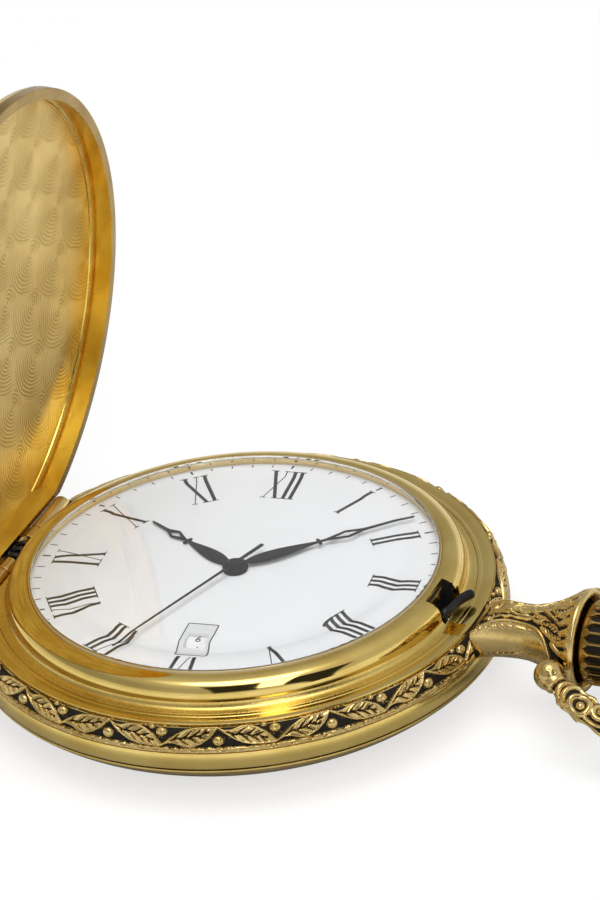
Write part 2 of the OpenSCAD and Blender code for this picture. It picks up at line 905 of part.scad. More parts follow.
module movement_holder() {
    low = back_h - 1.3;
    color(plastic)
        difference() {
            rotate_extrude()
                polygon([
                    [plate_r + 0.05, low], [bore_r - 1.0, low], [bore_r - 0.9, back_h + 0.75],
                    [bore_r - 0.08, back_h + 0.75], [bore_r - 0.08, sunk_z - 0.03],
                    [seat_r - 0.05, sunk_z - 0.03], [seat_r - 0.05, dial_back], [plate_r + 0.05, dial_back]
                ]);
            stem_rod(stem_r + 0.2, plate_r - 1, case_r);
            catch_room();
            hinge_cut(flange_z);
        }
}

module catch_room() {
    translate([catch_x - press_travel - 0.15, -3.8, sunk_z - 1.6])
        cube([4, 7.6, 3.5]);
}

// Train under the main plate

module arbor(place, low, high) {
    translate([place[0], place[1], 0])
        rod(arbor_r, low, high);
}

module wheel_at(place, level, teeth, m, turn) {
    translate([place[0], place[1], level])
        gear(teeth, m, 0.13, turn);
}

module seconds_wheel() {
    color(brass) {
        rod(seconds_arbor_r, bridge_back + 0.02, seconds_z + seconds_t + hub_cap);
        wheel_at([0, 0], seconds_level, seconds_teeth, fifth_m, 0);
        translate([0, 0, third_level - 0.06])
            gear(seconds_pinion_teeth, third_m, 0.3);
    }
}

module third_wheel() {
    color(brass) {
        arbor(third_axis, bridge_back + 0.02, plate_back + 0.3);
        wheel_at(third_axis, third_level, third_teeth, third_m, third_turn);
        translate([third_axis[0], third_axis[1], centre_level - 0.06])
            gear(third_pinion_teeth, centre_m, 0.24, third_turn);
    }
}

module centre_wheel() {
    color(brass)
        difference() {
            union() {
                wheel_at([0, 0], centre_level, centre_teeth, centre_m, centre_turn);
                rod(cannon_r, centre_level - 0.1, plate_floor + 0.03);
            }
            rod(cannon_bore, centre_level - 1, plate_floor + 1);
        }
}

module fifth_wheel() {
    color(brass) {
        arbor(fifth_axis, bridge_back + 0.02, plate_back + 0.3);
        wheel_at(fifth_axis, fifth_level, fifth_teeth, rotor_m, fifth_turn);
        translate([fifth_axis[0], fifth_axis[1], seconds_level - 0.08])
            gear(fifth_pinion_teeth, fifth_m, 0.3, fifth_turn);
    }
}

module rotor() {
    color(dark_grey) {
        arbor(rotor_axis, bridge_back + 0.02, plate_back + 0.3);
        translate([rotor_axis[0], rotor_axis[1], fifth_level - 0.06])
            gear(rotor_teeth, rotor_m, 0.25, rotor_turn);
        translate([rotor_axis[0], rotor_axis[1], 0])
            rod(1.1, plate_back - 0.55, plate_back - 0.13);
    }
}

// Lid and hinge

function lid_inside() = concat(
    [[lid_in, lid_z - 1], [lid_in, lid_z]],
    [[lid_in + 0.3, lid_z + lid_depth]],
    bend([lid_in - 0.3, lid_z + lid_depth + 0.1], [lid_in * 0.55, lid_z + lid_depth + lid_rise],
         [0, lid_z + lid_depth + lid_rise])
);

function lid_outside() = concat(
    [[lid_out, lid_z], [lid_out, lid_z + 0.9]],
    bend([lid_out - 0.1, lid_z + 1.3], [lid_out - 0.7, lid_z + lid_depth + 0.7],
         [lid_in - 2.2, lid_z + lid_depth + lid_t + 0.45], 6),
    bend([lid_in - 3.2, lid_z + lid_depth + lid_t + 0.62],
         [lid_in * 0.5, lid_z + lid_depth + lid_t + lid_rise],
         [0, lid_z + lid_depth + lid_t + lid_rise])
);

// Opens what is drawn for the closed lid
module opened() {
    translate([hinge_x, 0, hinge_z])
        rotate([0, -lid_open, 0])
            translate([-hinge_x, 0, -hinge_z])
                children();
}

module right_of(x) {
    translate([x, -case_r - 5, -5])
        cube([2 * case_r + 20, 2 * case_r + 10, 60]);
}

module front_cover() {
    color(gold)
        opened()
            difference() {
                intersection() {
                    rotate_extrude()
                        polygon(concat([[0, lid_z]], lid_outside()));
                    right_of(chord_x - chord_t);
                }
                intersection() {
                    rotate_extrude()
                        polygon(concat([[0, lid_z - 1]], lid_inside()));
                    right_of(chord_x);
                }
            }
}

module cover_knuckles() {
    wall_x = chord_x - chord_t;
    color(dark_gold)
        opened()
            for (side = [-1, 1]) {
                y0 = side > 0 ? spring_room / 2 : -spring_room / 2 - lid_knuckle_l;
                difference() {
                    union() {
                        hinge_rod(knuckle_r, y0, y0 + lid_knuckle_l);
                        translate([hinge_x - 0.4, y0, hinge_z])
                            cube([wall_x - hinge_x + 0.4, lid_knuckle_l, lid_z - hinge_z + 1.4]);
                    }
                    hinge_rod(pin_r + play, -hinge_half, hinge_half);
                }
            }
}

module hinge_pin() {
    color(steel)
        hinge_rod(pin_r, -hinge_half, hinge_half);
}

// Lift spring: one tube that curls round the hinge pin, with a straight end at each side
spring_mean = pin_r + play + 0.03 + spring_wire / 2;
rings_per_curl = 8;
spring_straight = spring_wire;
spring_span = spring_room - 0.1 - spring_wire / 2 - spring_straight;
spring_floor = hinge_z - knuckle_play;
curl_rings = spring_curls * rings_per_curl;

// The coil runs along Y, from a leg that stands on the case to an end that meets the lid's knuckle
function curl_point(i) =
    let (t = i / curl_rings, a = 180 - 360 * spring_curls * t)
    [
        hinge_x + spring_mean * cos(a),
        -spring_room / 2 + 0.05 + spring_wire / 2 + spring_span * t,
        hinge_z + spring_mean * sin(a)
    ];
spring_path = concat(
    [[hinge_x - spring_mean, curl_point(0)[1], spring_floor],
     [hinge_x - spring_mean, curl_point(0)[1], spring_floor + spring_straight * 0.8]],
    [for (i = [0:curl_rings]) curl_point(i)],
    [curl_point(curl_rings) + [0, spring_straight * 0.5, 0], curl_point(curl_rings) + [0, spring_straight, 0]]
);

function unit(v) = v / norm(v);
function path_way(path, i) =
    i == 0 ? unit(path[1] - path[0])
    : i == len(path) - 1 ? unit(path[i] - path[i - 1])
    : unit(unit(path[i + 1] - path[i]) + unit(path[i] - path[i - 1]));

// Carries a normal along the path so that the tube doesn't twist
function carried(path, i, n) = let (w = path_way(path, i)) unit(n - w * (n * w));
function normals(path, i = 0, n = [0, 1, 0.001]) =
    i == len(path) ? [] : let (c = carried(path, i, n)) concat([c], normals(path, i + 1, c));

module tube(path, r, sides) {
    n = normals(path);
    points = [
        for (i = [0:len(path) - 1])
            let (w = path_way(path, i), u = n[i], v = cross(w, u))
            for (k = [0:sides - 1])
                path[i] + r * (u * cos(360 * k / sides) + v * sin(360 * k / sides))
    ];
    last = (len(path) - 1) * sides;
    faces = concat(
        [for (k = [1:sides - 2]) [0, k, k + 1]],
        [for (k = [1:sides - 2]) [last, last + k + 1, last + k]],
        [for (i = [0:len(path) - 2]) for (k = [0:sides - 1])
            let (a = i * sides + k, b = i * sides + (k + 1) % sides) [a, a + sides, b]],
        [for (i = [0:len(path) - 2]) for (k = [0:sides - 1])
            let (a = i * sides + k, b = i * sides + (k + 1) % sides) [b, a + sides, b + sides]]
    );
    polyhedron(points, faces);
}

// Least gap between turns that lie at least half a curl apart along the tube
spring_gap = min([
    for (i = [2:len(spring_path) - 3])
        for (j = [i + rings_per_curl / 2:1:len(spring_path) - 3])
            norm(spring_path[i] - spring_path[j]) - spring_wire
]);

module lift_spring() {
    echo(str("least gap of the lift spring to itself: ", spring_gap, " mm"));
    color(black_steel)
        tube(spring_path, spring_wire / 2, 6);
}

// Pendant, crown and bow

module band_envelope() {
    rotate_extrude()
        polygon(concat(
            [[0, back_h]], band_outside(),
            [[lid_out + 0.25, flange_z], [lid_out + 0.25, lid_z + 10], [0, lid_z + 10]]
        ));
}

function pendant_outside() = concat(
    bend([case_r - 0.8, neck_r + 0.45], [case_r + 0.8, neck_r], [case_r + 3.2, neck_r]),
    bend([case_r + 4.0, neck_r + 0.05], [pendant_x - 2.6, neck_r + 0.6], [pendant_x - 0.9, cup_r - 0.15]),
    [[pendant_x - 0.3, cup_r], [pendant_x, cup_r - 0.15]]
);

// Height of the pendant's root above the stem's axis, and its slope up to the neck
root_rise = 1.05;
root_slope = 28;

module root_cut() {
    translate([case_r - 0.6, 0, stem_z + root_rise])
        rotate([0, -root_slope, 0])
            translate([-1, -neck_r - 1, 0])
                cube([5, 2 * neck_r + 2, 4]);
}

module pendant() {
    color(gold)
        difference() {
            stem_turned(concat(
                [[case_r - 0.8, 0]], pendant_outside(),
                [[pendant_x, cup_in], [cup_floor + 1.3, cup_in - 0.1]],
                [[cup_floor, cup_in - 1.0], [cup_floor, 0]]
            ));
            band_envelope();
            root_cut();
            stem_rod(sleeve_r + play, sleeve_x - press_travel - gap, pendant_x);
            stem_rod(nose_r + play, case_r - 1, sleeve_x);
            translate([pivot_x, -pivot_y, stem_z])
                rotate([-90, 0, 0])
                    cylinder(r = bow_pin_r + play, h = 2 * pivot_y, $fn = fine);
        }
}

module push_sleeve() {
    color(steel)
        difference() {
            stem_turned([
                [catch_x + 0.75, 0], [catch_x + 0.75, nose_r], [sleeve_x, nose_r],
                [sleeve_x, sleeve_r], [crown_x + 1.4, sleeve_r], [crown_x + 1.4, 0]
            ]);
            stem_rod(stem_r + play, 0, pendant_x + 5);
        }
}

crown_socket_r = sleeve_r + 0.45;

module crown() {
    shoulder_x = crown_x + 1.4;
    barrel_end = crown_end - 0.9;
    color(dark_gold)
        difference() {
            stem_turned(concat(
                [[crown_x, 0], [crown_x, crown_r * 0.68]],
                bend([crown_x + 0.2, crown_r * 0.75], [crown_x + 0.6, crown_r], [shoulder_x, crown_r], 6),
                bend([barrel_end, crown_r], [crown_end - 0.1, crown_r - 0.1], [crown_end, crown_r * 0.6], 6),
                [[crown_end + 0.15, 0]]
            ));
            for (i = [0:flute_count - 1])
                translate([shoulder_x - 0.25, 0, stem_z])
                    rotate([360 * (i + 0.5) / flute_count, 0, 0])
                        translate([0, crown_r + 0.12, 0])
                            rotate([0, 90, 0])
                                cylinder(r = 0.32, h = barrel_end - shoulder_x + 0.5, $fn = 24);
            stem_rod(stem_r + 0.01, crown_x - 1, crown_x + 3.5);
            stem_rod(crown_socket_r, crown_x - 1, crown_x + 1.5);
        }
}

module crown_gasket() {
    color(black_steel)
        difference() {
            stem_rod(crown_socket_r - 0.01, crown_x + 0.3, crown_x + 0.8);
            stem_rod(sleeve_r + 0.03, crown_x, crown_x + 1);
        }
}

module stem() {
    color(steel)
        stem_rod(stem_r, stem_tip, crown_x + 3.4);
}

module clutch_pinion() {
    color(steel)
        translate([stem_tip, 0, stem_z])
            rotate([0, 90, 0])
                difference() {
                    gear(12, 0.085, 1.9);
                    translate([0, 0, -1])
                        cylinder(r = stem_r + play, h = 4, $fn = fine);
                }
}

// Cylinder of the catch's wire between two points, with a rounded knob on its end
module wire(from, to) {
    way = to - from;
    translate(from)
        rotate([0, acos(way[2] / norm(way)), atan2(way[1], way[0])])
            cylinder(r = catch_wire, h = norm(way), $fn = fine);
    translate(to)
        sphere(r = catch_wire + 0.05, $fn = fine);
}

module catch_spring() {
    post_x = catch_x + catch_wire;
    strip_top = sunk_z - 0.05;
    color(black_steel) {
        difference() {
            translate([catch_x + 0.25, -3.4, strip_top - 1.35])
                cube([0.4, 6.8, 1.35]);
            stem_rod(stem_r + 0.2, catch_x - 1, catch_x + 2);
        }
        wire([post_x, -1.3, strip_top - 0.6], [post_x, -1.3, catch_z]);
        wire([post_x, -1.3, catch_z], [post_x + 1.35, 2.15, catch_z]);
    }
}

module bow_arc(r, turn, sweep, t) {
    rotate([0, 0, turn])
        rotate_extrude(angle = sweep)
            translate([r, 0])
                circle(r = t, $fn = fine);
}

module bow() {
    color(gold)
        translate([pivot_x, 0, stem_z])
            rotate([0, bow_drop, 0]) {
                translate([bow_end_x, 0, 0])
                    bow_arc(bow_half, -90, 180, bow_t);
                for (side = [-1, 1])
                    mirror([0, side > 0 ? 1 : 0, 0]) {
                        translate([bow_end_x, bow_side_r - bow_half, 0])
                            bow_arc(bow_side_r, -90 - bow_side_a, bow_side_a, bow_side_t);
                        translate([bow_end_x, -bow_half, 0])
                            sphere(r = bow_t, $fn = fine);
                        translate([0, -pivot_y, 0])
                            sphere(r = ball_r, $fn = fine);
                        translate([0, -pivot_y, 0])
                            rotate([-90, 0, 0])
                                cylinder(r = bow_pin_r, h = pivot_y - cup_in + 0.15, $fn = fine);
                    }
            }
}

case_band();
pendant();
back_cover();
back_gasket();
bezel();
crystal();
crystal_gasket();
rehaut_ring();
dial();
date_frame();
movement_holder();
main_plate();
calendar_plate();
train_bridge();
movement_screws();
circuit_board();
quartz_can();
drive_coil();
stator();
battery();
battery_clamp();
hinge_pin();
lift_spring();
front_cover();
cover_knuckles();
bow();
clutch_pinion();
push_sleeve();
crown();
crown_gasket();
stem();
catch_spring();
minute_hand();
cannon_pinion();
hour_hand();
hour_wheel();
minute_wheel();
seconds_hand();
seconds_wheel();
third_wheel();
centre_wheel();
fifth_wheel();
rotor();
date_idler();
date_driver();
date_ring();
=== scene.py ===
"""Looks of the hunter-case pocket watch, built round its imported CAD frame. Lengths are in mm until a mesh is made."""
import math

import bmesh
import bpy
import numpy as np
from mathutils import Matrix, Vector


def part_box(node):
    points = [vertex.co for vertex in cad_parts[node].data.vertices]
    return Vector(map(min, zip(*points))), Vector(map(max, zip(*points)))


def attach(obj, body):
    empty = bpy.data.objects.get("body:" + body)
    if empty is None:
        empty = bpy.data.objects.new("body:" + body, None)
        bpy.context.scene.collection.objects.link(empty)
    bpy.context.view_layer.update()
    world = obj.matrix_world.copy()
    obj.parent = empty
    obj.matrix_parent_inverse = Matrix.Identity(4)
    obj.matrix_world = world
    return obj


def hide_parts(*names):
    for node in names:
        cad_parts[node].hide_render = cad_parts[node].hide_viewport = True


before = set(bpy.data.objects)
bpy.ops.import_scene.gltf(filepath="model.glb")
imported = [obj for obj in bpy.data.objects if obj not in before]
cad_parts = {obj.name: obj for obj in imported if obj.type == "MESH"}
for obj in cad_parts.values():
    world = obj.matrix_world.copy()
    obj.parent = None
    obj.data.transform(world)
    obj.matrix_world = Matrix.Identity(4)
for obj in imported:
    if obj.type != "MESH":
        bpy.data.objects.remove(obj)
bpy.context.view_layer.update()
MM = 0.001

# Sizes of the part's source
VIEW_R = 18.4
DOME_R = 20.45
FOOT_R = 21.4
LAND_R = 22.85
CASE_R = 24.0
BORE_R = 21.0
GROUND_R = 23.65
SEAT_R = 19.25
BACK_H = 4.0
FLANGE_Z = 8.05
DIAL_Z = 8.9
GLASS_Z = 9.9
GLASS_TOP = 10.7
CREST_Z = 10.27
SUNK_Z = 7.2
DIAL_TURN = 6.2
HINGE_X = -21.45
HINGE_Z = 7.7
HINGE_HALF = 9.2
LID_OPEN = 84.3
LID_Z = 8.4
LID_IN = 22.3
LID_OUT = 23.3
LID_DEPTH = 2.0
LID_RISE = 1.5
LID_T = 0.6
CHORD_X = -20.35
CHORD_T = 0.6
STEM_Z = 7.25
PENDANT_X = 33.2
PIVOT_X = 31.7
PIVOT_Y = 6.0
CROWN_X = 31.8
CROWN_END = 38.8
CROWN_R = 3.75
BOW_DROP = 22.9
BOW_HALF = 8.1
NOTCH_X = 18.95
CATCH_X = 19.65
CATCH_Z = 8.75

# Shared sizes of the visual pieces
RIM_Z = 5.75
SPIN = 320
HINGE_Y = HINGE_HALF + 0.1
HINGE_LOW = HINGE_Z - 0.95
KNUCKLE_R = 0.85


# Mesh tools

def bend(a, b, c, n=12):
    """Points on a bend from a to c that leaves towards b."""
    t = np.linspace(0, 1, n)[:, None]
    a, b, c = (np.array(p, float) for p in (a, b, c))
    return [tuple(p) for p in a * (1 - t) ** 2 + 2 * b * t * (1 - t) + c * t * t]


def around(x, y, *offsets):
    """Points at offsets from one point."""
    return [(x + dx, y + dy) for dx, dy in offsets]


def soften(points, size, closed=False, n=4, least=20):
    """Rounds the corners of a line of points over size on both sides."""
    points = [np.array(p, float) for p in points]
    out = []
    for i, p in enumerate(points):
        if not closed and i in (0, len(points) - 1):
            out.append(tuple(p))
            continue
        u, v = points[i - 1] - p, points[(i + 1) % len(points)] - p
        lu, lv = np.linalg.norm(u), np.linalg.norm(v)
        if lu < 1e-6 or lv < 1e-6:
            continue
        turn = math.degrees(math.acos(max(-1, min(1, float(-u @ v / lu / lv)))))
        s = min(size, lu / 2.5, lv / 2.5)
        out += [tuple(p)] if turn < least else bend(p + u / lu * s, p, p + v / lv * s, n)
    return out


def grid_faces(nu, nv, wrap_u=False, wrap_v=False, caps=False):
    """Quads of a grid of nu by nv points, with faces over its first and last row if it has caps."""
    i, j = np.meshgrid(np.arange(nu - (not wrap_u)), np.arange(nv - (not wrap_v)), indexing="ij")
    i2, j2 = (i + 1) % nu, (j + 1) % nv
    faces = np.stack([i * nv + j, i2 * nv + j, i2 * nv + j2, i * nv + j2], -1).reshape(-1, 4).tolist()
    if caps:
        faces += [list(range(nv)), list(range(nu * nv - 1, (nu - 1) * nv - 1, -1))]
    return faces


def revolve(profile, segments=256, closed=False):
    """Points and faces of a profile of (radius, z) turned about the dial's axis. closed joins its two ends."""
    angles = np.radians(360.0 * np.arange(segments) / segments)
    points, rows = [], []
    for r, z in profile:
        if r < 1e-6:
            rows.append([len(points)] * segments)
            points.append((0, 0, z))
        else:
            rows.append(list(range(len(points), len(points) + segments)))
            points += [(r * c, r * s, z) for c, s in zip(np.cos(angles), np.sin(angles))]
    faces = []
    for low, high in list(zip(rows, rows[1:])) + ([(rows[-1], rows[0])] if closed else []):
        for k in range(segments):
            k2 = (k + 1) % segments
            face = [low[k], low[k2], high[k2], high[k]]
            face = [v for n, v in enumerate(face) if v not in face[:n]]
            if len(face) > 2:
                faces.append(face)
    return points, faces


def block(x0, x1, y0, y1, z0, z1):
    points = [(x, y, z) for x in (x0, x1) for y in (y0, y1) for z in (z0, z1)]
    return points, [[0, 1, 3, 2], [4, 6, 7, 5], [0, 4, 5, 1], [2, 3, 7, 6], [0, 2, 6, 4], [1, 5, 7, 3]]


def rod_y(x, z, r, y0, y1, n=40, round_end=0.08):
    """A rod along Y with rounded rims, as points and faces."""
    line = [(0, y0), (r - round_end, y0), (r, y0 + round_end), (r, y1 - round_end), (r - round_end, y1), (0, y1)]
    points, faces = revolve(soften(line, round_end / 2, n=3), n)
    p = np.asarray(points)
    return np.stack([x + p[:, 0], p[:, 2], z + p[:, 1]], 1), faces


def rod_x(r, x0, x1, n=40):
    """A rod along the stem's axis."""
    points, faces = revolve([(0, x0), (r, x0), (r, x1), (0, x1)], n)
    p = np.asarray(points)
    return np.stack([p[:, 2], p[:, 0], STEM_Z + p[:, 1]], 1), faces


def stem_grid(line, columns, start=0):
    """Grids of x, angle in degrees and radius of a profile of (x, radius) turned about the stem's axis."""
    line = np.array(line)
    x, a = np.meshgrid(line[:, 0], np.linspace(start, start + 360, columns, endpoint=False), indexing="ij")
    return x, a, np.repeat(line[:, 1:], columns, 1)


def round_stem(x, a, r):
    """Points at angle a in degrees from the top of the stem's axis."""
    return np.stack([x, -r * np.sin(np.radians(a)), STEM_Z + r * np.cos(np.radians(a))], -1)


def tube(line, radii, sides=20):
    """Points and faces of a round tube along a line, with rounded ends."""
    line = np.array(line, float)
    radii = np.broadcast_to(np.asarray(radii, float), (len(line),))
    along = np.gradient(line, axis=0)
    along /= np.linalg.norm(along, axis=1)[:, None]
    cap = np.arange(1, 7) / 6 * math.pi / 2

    def end(k, angles, way):
        return [(line[k] + way * along[k] * radii[k] * math.sin(q), along[k], max(radii[k] * math.cos(q), 1e-3))
                for q in angles]

    normal = np.cross(along[0], (0.3, 0.2, 0.9))
    rings, angles = [], np.linspace(0, 2 * math.pi, sides, endpoint=False)
    for p, d, r in end(0, cap[::-1], -1) + list(zip(line, along, radii)) + end(-1, cap, 1):
        normal = normal - d * (normal @ d)
        normal /= np.linalg.norm(normal)
        rings.append(p + r * (np.cos(angles)[:, None] * normal + np.sin(angles)[:, None] * np.cross(d, normal)))
    return np.concatenate(rings), grid_faces(len(rings), sides, wrap_v=True, caps=True)


def moved(points, matrix):
    m = np.array(matrix)
    return np.reshape(points, (-1, 3)) @ m[:3, :3].T + m[:3, 3]


def added(name, data):
    obj = bpy.data.objects.new(name, data)
    bpy.context.scene.collection.objects.link(obj)
    return obj


def shaped_mesh(obj):
    """A new mesh of an object as its modifiers shape it."""
    bpy.context.view_layer.update()
    return bpy.data.meshes.new_from_object(obj.evaluated_get(bpy.context.evaluated_depsgraph_get()))


def curve_mesh(curve):
    obj = added("outline", curve)
    mesh = shaped_mesh(obj)
    bpy.data.objects.remove(obj)
    return mesh


def finish_mesh(mesh, sharp):
    mesh.polygons.foreach_set("use_smooth", np.ones(len(mesh.polygons), bool))
    mesh.set_sharp_from_angle(angle=math.radians(sharp))


def outward(mesh):
    work = bmesh.new()
    work.from_mesh(mesh)
    bmesh.ops.recalc_face_normals(work, faces=work.faces)
    work.to_mesh(mesh)
    work.free()


def piece(name, points, faces, material, body=None, nodes=(), slot=None, sharp=35, marks=None, fix=True):
    """A mesh in mm that rides on a body. marks are values at its points that a material reads."""
    mesh = bpy.data.meshes.new(name)
    mesh.from_pydata((np.asarray(points, float) * MM).tolist(), [], faces)
    if marks is not None:
        attribute = mesh.attributes.new("mark", "FLOAT", "POINT")
        attribute.data.foreach_set("value", np.asarray(marks, np.float32).ravel())
    obj = added(name, mesh)
    if fix:
        outward(mesh)
    finish_mesh(mesh, sharp)
    mesh.materials.append(material)
    if body:
        settle(obj, body, nodes)
    return obj


def settle(obj, body, nodes=()):
    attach(obj, body)
    if nodes:
        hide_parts(*nodes)


def carve(obj, *cutters, sharp=35):
    """Cuts solids out of an object. (operation, points and faces or an object) does another operation."""
    tools = []
    for cutter in cutters:
        kind, solid = cutter if isinstance(cutter[0], str) else ("DIFFERENCE", cutter)
        tools.append(piece("tool", *solid, obj.data.materials[0]) if isinstance(solid, tuple) else solid)
        mod = obj.modifiers.new("carve", "BOOLEAN")
        mod.operation, mod.solver, mod.object = kind, "EXACT", tools[-1]
    mesh = shaped_mesh(obj)
    obj.modifiers.clear()
    obj.data = mesh
    for tool in tools:
        bpy.data.objects.remove(tool)
    finish_mesh(mesh, sharp)


def smoothstep(a, b, x):
    t = np.clip((x - a) / (b - a), 0, 1)
    return t * t * (3 - 2 * t)


def hump(x):
    """A round hump over x: 1 at 0, and 0 from 1 on."""
    return np.sqrt(np.clip(1 - x ** 2, 0, 1))


def ripple(u, v, seed, n=7, low=1.0, high=4.0):
    """Smooth seeded noise over a grid that repeats in u over one whole turn of 2 pi."""
    rng = np.random.default_rng(seed)
    total = np.zeros(np.broadcast(u, v).shape)
    for _ in range(n):
        k = rng.integers(int(low * 6), int(high * 30))
        total = total + np.sin(k * u + rng.uniform(low, high) * v + rng.uniform(0, 6.3)) / n
    return total


# Materials

def put(tree, kind, ins=None, **attrs):
    """A shader node with its values set and its links made."""
    n = tree.nodes.new(kind)
    for key, value in attrs.items():
        setattr(n, key, value)
    for key, value in (ins or {}).items():
        value, end = getattr(value, "socket", value), n.inputs[key]
        if isinstance(value, bpy.types.NodeSocket):
            tree.links.new(value, end)
        else:
            end.default_value = (*value, 1) if end.type == "RGBA" else value
    return n


class Num:
    """A number from a shader node that can be reckoned with."""

    def __init__(self, tree, socket):
        self.tree, self.socket = tree, socket

    def do(self, operation, *others):
        ins = dict(enumerate((self, *others)))
        return Num(self.tree, put(self.tree, "ShaderNodeMath", ins, operation=operation).outputs[0])

    def __add__(self, other):
        return self.do("ADD", other)

    def __sub__(self, other):
        return self.do("SUBTRACT", other)

    def __rsub__(self, other):
        return Num(self.tree, put(self.tree, "ShaderNodeMath", {0: other, 1: self}, operation="SUBTRACT").outputs[0])

    def __mul__(self, other):
        return self.do("MULTIPLY", other)

    def __truediv__(self, other):
        return self.do("DIVIDE", other)

    def remap(self, a, b, low, high, **attrs):
        ins = {"Value": self, "From Min": a, "From Max": b, "To Min": low, "To Max": high}
        return Num(self.tree, put(self.tree, "ShaderNodeMapRange", ins, **attrs).outputs[0])

    def blend(self, a, b):
        return Num(self.tree, put(self.tree, "ShaderNodeMix", {0: self, 2: a, 3: b}).outputs[0])

    def tint(self, a, b):
        """Goes from colour a to colour b."""
        return put(self.tree, "ShaderNodeMix", {0: self, 6: a, 7: b}, data_type="RGBA").outputs[2]


def blank(name):
    mat = bpy.data.materials.new(name)
    mat.use_nodes = True
    tree = mat.node_tree
    tree.nodes.clear()
    return mat, tree, put(tree, "ShaderNodeOutputMaterial")


def coordinate(tree, kind):
    return put(tree, "ShaderNodeTexCoord").outputs[kind]


def noise(tree, scale, detail=3.0, rough=0.5, stretch=(1, 1, 1)):
    """Noise over the point's place on its own piece, in mm."""
    at = put(tree, "ShaderNodeMapping", {"Vector": coordinate(tree, "Object"), "Scale": [s / MM for s in stretch]})
    ins = {"Vector": at.outputs[0], "Scale": scale, "Detail": detail, "Roughness": rough}
    return Num(tree, put(tree, "ShaderNodeTexNoise", ins).outputs["Fac"])


def shade(tree, out, height, strength, depth, ins):
    """Ends a material with a shader over fine relief of a depth in mm."""
    relief = put(tree, "ShaderNodeBump", {"Strength": strength, "Distance": depth * MM, "Height": height})
    shader = put(tree, "ShaderNodeBsdfPrincipled", {**ins, "Normal": relief.outputs[0]})
    tree.links.new(shader.outputs[0], out.inputs[0])


def rgb(*levels):
    """A colour from its sRGB values out of 255."""
    return tuple(c / 255 / 12.92 if c / 255 <= 0.04045 else ((c / 255 + 0.055) / 1.055) ** 2.4 for c in levels)


def metal(name, colour, deep, rough=0.16, vary=0.06, bump=0.004, grain=(1, 1, 1), marked_tarnish_and_shade=False, scratches=0.0,
          metallic=1.0):
    """Plated or plain metal: colour clouds, uneven polish, fine grain, and black where a mark says so: tarnish in
    chased hollows, and painted shade in recesses that a piece marks.
    """
    mat, tree, out = blank(name)
    cloud = noise(tree, 0.22, 4)
    tone = cloud.remap(0.35, 0.7, 0, 1).tint(colour, deep)
    fine = noise(tree, 2.0, 5, 0.6, grain)
    polish = fine.remap(0.3, 0.7, rough - vary, rough + vary) + cloud.remap(0.3, 0.7, -0.02, 0.03)
    height = fine
    if scratches:
        height = fine + noise(tree, 3.0, 3, stretch=(0.25, 6, 1)).remap(0.62, 0.7, 0, 1) * scratches
    gleam = metallic
    if marked_tarnish_and_shade:
        mark = Num(tree, put(tree, "ShaderNodeAttribute", attribute_name="mark").outputs["Fac"])
        # A low mark turns the metal black: tarnish in chased hollows, and painted shade where a piece marks a recess.
        tarnish_and_shade = noise(tree, 3.5, 4, 0.7).remap(0.3, 0.7, -0.3, 0.3) + 1.35 - mark * 3.2
        tarnish_and_shade = Num(tree, put(tree, "ShaderNodeClamp", {"Value": tarnish_and_shade}).outputs[0])
        tone = tarnish_and_shade.tint(tone, (0.010, 0.007, 0.004))
        polish = polish + tarnish_and_shade * 0.4
        gleam = 1.0 - tarnish_and_shade * 0.6
    shade(tree, out, height, 0.35, bump, {"Base Color": tone, "Metallic": gleam, "Roughness": polish})
    return mat


def plain(name, colour, rough=0.5, bump=0.01, scale=2.0, change=0.06, specular=0.5):
    """Lacquer, rubber or plastic with slight changes of tone and grain."""
    mat, tree, out = blank(name)
    tone = noise(tree, 0.3, 3).remap(0.3, 0.7, 0, 1).tint(colour, tuple(c * (1 - change) for c in colour))
    fine = noise(tree, scale, 4)
    shade(tree, out, fine, 0.3, bump, {
        "Base Color": tone, "Roughness": fine.remap(0.3, 0.7, rough - 0.04, rough + 0.04),
        "Specular IOR Level": specular})
    return mat


def glass(name):
    """Clear to shadow rays, so that the dial under it is lit."""
    mat, tree, out = blank(name)
    smear = noise(tree, 0.15, 3).remap(0.35, 0.7, 0.0, 0.015)
    shader = put(tree, "ShaderNodeBsdfPrincipled", {
        "Base Color": (0.985, 0.99, 0.99), "Roughness": smear, "IOR": 1.5, "Transmission Weight": 1.0,
        "Specular IOR Level": 0.1})
    clear = put(tree, "ShaderNodeBsdfTransparent", {"Color": (0.97, 0.98, 0.98)})
    shadow = put(tree, "ShaderNodeLightPath").outputs["Is Shadow Ray"]
    through = put(tree, "ShaderNodeMixShader", {0: shadow, 1: shader.outputs[0], 2: clear.outputs[0]})
    tree.links.new(through.outputs[0], out.inputs[0])
    return mat


